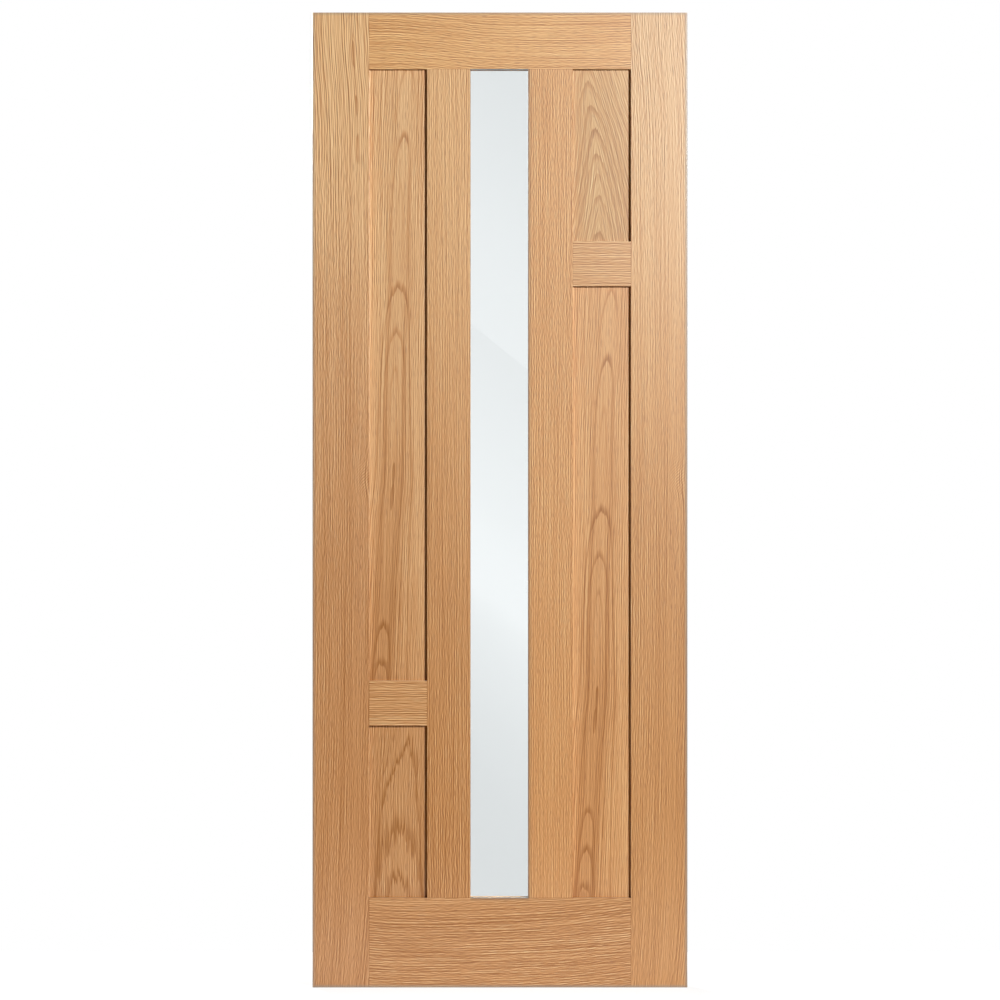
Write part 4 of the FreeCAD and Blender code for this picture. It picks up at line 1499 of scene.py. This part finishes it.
class DOOR_OT_stage(bpy.types.Operator):
    """Sets the camera, the lamps, the white surroundings and the pale floor"""

    bl_idname = "door.stage"
    bl_label = "Set Stage"

    def execute(self, context):
        stage = context.scene.door_stage
        scene = context.scene
        scene.view_settings.view_transform = "Standard"

        camera = link(bpy.data.objects.new("camera", bpy.data.cameras.new("camera")))
        camera.location = (LEAF_MIDDLE.x, LEAF_MIDDLE.y - stage.camera_distance, LEAF_MIDDLE.z)
        aim(camera, LEAF_MIDDLE)
        to_face = stage.camera_distance - (LEAF_MIDDLE.y - LEAF_LOW.y)
        camera.data.lens = camera.data.sensor_width * to_face / stage.view_height
        camera.data.clip_end = CAMERA_REACH
        scene.camera = camera

        self.hang_lamp("key_lamp", KEY_PLACE, stage.key_power)
        self.hang_lamp("back_lamp", BACK_PLACE, stage.back_power)
        self.light_surroundings(scene, stage)
        self.lay_floor(stage)
        self.hang_card(camera)
        return {"FINISHED"}

    def hang_lamp(self, name, place, power):
        """A small square lamp that looks at the middle of the leaf."""
        lamp = bpy.data.lights.new(name, "AREA")
        lamp.energy = power
        lamp.size = LAMP_SIZE
        holder = link(bpy.data.objects.new(name, lamp))
        holder.location = place
        aim(holder, LEAF_MIDDLE)

    def light_surroundings(self, scene, stage):
        """White to the camera, in reflections and through glass, and a weak even light on the leaf."""
        world = bpy.data.worlds.new("white_surroundings")
        world.use_nodes = True
        wiring = Wiring(world.node_tree)
        background = world.node_tree.nodes["Background"]
        strength = wiring.maths("MULTIPLY_ADD", wiring.in_view(), 1.0 - stage.fill_level, stage.fill_level)
        background.inputs["Color"].default_value = (1.0, 1.0, 1.0, 1.0)
        wiring.feed(background.inputs["Strength"], strength)
        scene.world = world

    def lay_floor(self, stage):
        """A pale floor that keeps the leaf's shadow and is white elsewhere."""
        left = LEAF_LOW.x - FLOOR_ASIDE
        right = LEAF_HIGH.x + FLOOR_ASIDE
        floor = flat_sheet("floor", [
            (left, FLOOR_NEAR, 0.0),
            (right, FLOOR_NEAR, 0.0),
            (right, FLOOR_FAR, 0.0),
            (left, FLOOR_FAR, 0.0),
        ])
        material, wiring, shader = new_material("pale_floor")
        maths = wiring.maths
        place = wiring.position()
        speck = wiring.noise(place, seed=0.0, grain=FLOOR_SPECK_GRAIN, detail=3.0)
        speck = maths("ADD", speck, 0.5, clamp=True)
        dull = opaque(stage.floor_colour, FLOOR_SPECK)
        wiring.feed(shader.inputs["Base Color"], wiring.blend(speck, opaque(stage.floor_colour), dull))
        shader.inputs["Roughness"].default_value = FLOOR_ROUGHNESS

        across, through, _ = wiring.split(place)
        half_width = (LEAF_HIGH.x - LEAF_LOW.x) / 2
        aside = maths("ABSOLUTE", maths("SUBTRACT", across, LEAF_MIDDLE.x))
        aside = maths("MAXIMUM", maths("SUBTRACT", aside, half_width), 0.0)
        away = maths("SQRT", wiring.square_sum(aside, through))
        fade = wiring.ramp(away, *FLOOR_FADE)
        white = wiring.add("ShaderNodeEmission")
        wiring.feed(white.inputs["Strength"], maths("MULTIPLY_ADD", fade, FLOOR_MORE_LIGHT, FLOOR_LIGHT))
        dimmed = wiring.add("ShaderNodeMixShader")
        dimmed.inputs[0].default_value = FLOOR_DIMMING
        wiring.feed(dimmed.inputs[1], shader.outputs[0])
        both = wiring.add("ShaderNodeAddShader")
        wiring.feed(both.inputs[0], dimmed.outputs[0])
        wiring.feed(both.inputs[1], white.outputs[0])
        wiring.show(wiring.mix_shaders(wiring.in_view(), shader.outputs[0], both.outputs[0]))
        floor.data.materials.append(material)

    def hang_card(self, camera):
        """A dim card behind the camera, with a pale strip that the glass mirrors."""
        middle = camera.location
        place = middle.y - CARD_BEHIND
        left = middle.x - CARD_REACH
        right = middle.x + CARD_REACH
        low = middle.z - CARD_REACH
        high = middle.z + CARD_REACH
        card = flat_sheet("reflected_card", [
            (left, place, low),
            (left, place, high),
            (right, place, high),
            (right, place, low),
        ])
        card.visible_camera = False
        card.visible_diffuse = False
        card.visible_shadow = False
        material, wiring, shader = new_material("reflected_card")
        material.node_tree.nodes.remove(shader)
        maths = wiring.maths
        parts = wiring.split(wiring.position())
        across = maths("SUBTRACT", parts[0], middle.x)
        up = maths("SUBTRACT", parts[2], middle.z)
        slanted = maths("MULTIPLY_ADD", across, CARD_SLANT, up)
        flag = wiring.ramp(slanted, CARD_FLAG - CARD_FLAG_EDGE, CARD_FLAG + CARD_FLAG_EDGE)
        level = maths("MULTIPLY_ADD", flag, CARD_FLAG_STEP, wiring.course(slanted, CARD_LEVELS))
        level = maths("SUBTRACT", level, CARD_DIM)
        strip = wiring.ramp(maths("ABSOLUTE", across), CARD_STRIP + CARD_EDGE, CARD_STRIP)
        light = wiring.add("ShaderNodeEmission")
        wiring.feed(light.inputs["Strength"], maths("MULTIPLY_ADD", level, strip, CARD_DIM))
        bounces = wiring.add("ShaderNodeLightPath").outputs["Glossy Depth"]
        mirrored = maths("GREATER_THAN", bounces, 0.5)
        clear = wiring.add("ShaderNodeBsdfTransparent")
        wiring.show(wiring.mix_shaders(mirrored, clear.outputs[0], light.outputs[0]))
        card.data.materials.append(material)


OPERATORS = (
    DOOR_OT_framing,
    DOOR_OT_panels,
    DOOR_OT_glazing,
    DOOR_OT_beads,
    DOOR_OT_pins,
    DOOR_OT_slots,
    DOOR_OT_stage,
)


class DOOR_PT_panel(bpy.types.Panel):
    """Lists the steps that finish the leaf"""

    bl_idname = "DOOR_PT_panel"
    bl_label = "Door Leaf"
    bl_space_type = "VIEW_3D"
    bl_region_type = "UI"
    bl_category = "Door"

    def draw(self, context):
        for operator in OPERATORS:
            self.layout.operator(operator.bl_idname)


CLASSES = (DoorFinish, DoorDetail, DoorStage, *OPERATORS, DOOR_PT_panel)


def register():
    """Adds the classes and the leaf's settings."""
    for kind in CLASSES:
        bpy.utils.register_class(kind)
    bpy.types.Scene.door_finish = bpy.props.PointerProperty(type=DoorFinish)
    bpy.types.Scene.door_detail = bpy.props.PointerProperty(type=DoorDetail)
    bpy.types.Scene.door_stage = bpy.props.PointerProperty(type=DoorStage)


def unregister():
    """Removes the leaf's settings and the classes."""
    del bpy.types.Scene.door_stage
    del bpy.types.Scene.door_detail
    del bpy.types.Scene.door_finish
    for kind in reversed(CLASSES):
        bpy.utils.unregister_class(kind)


def main():
    """Finishes the leaf and sets the stage."""
    register()
    bpy.ops.door.framing()
    bpy.ops.door.panels()
    bpy.ops.door.glazing()
    bpy.ops.door.beads()
    bpy.ops.door.pins()
    bpy.ops.door.slots()
    bpy.ops.door.stage()


if __name__ == "__main__":
    main()
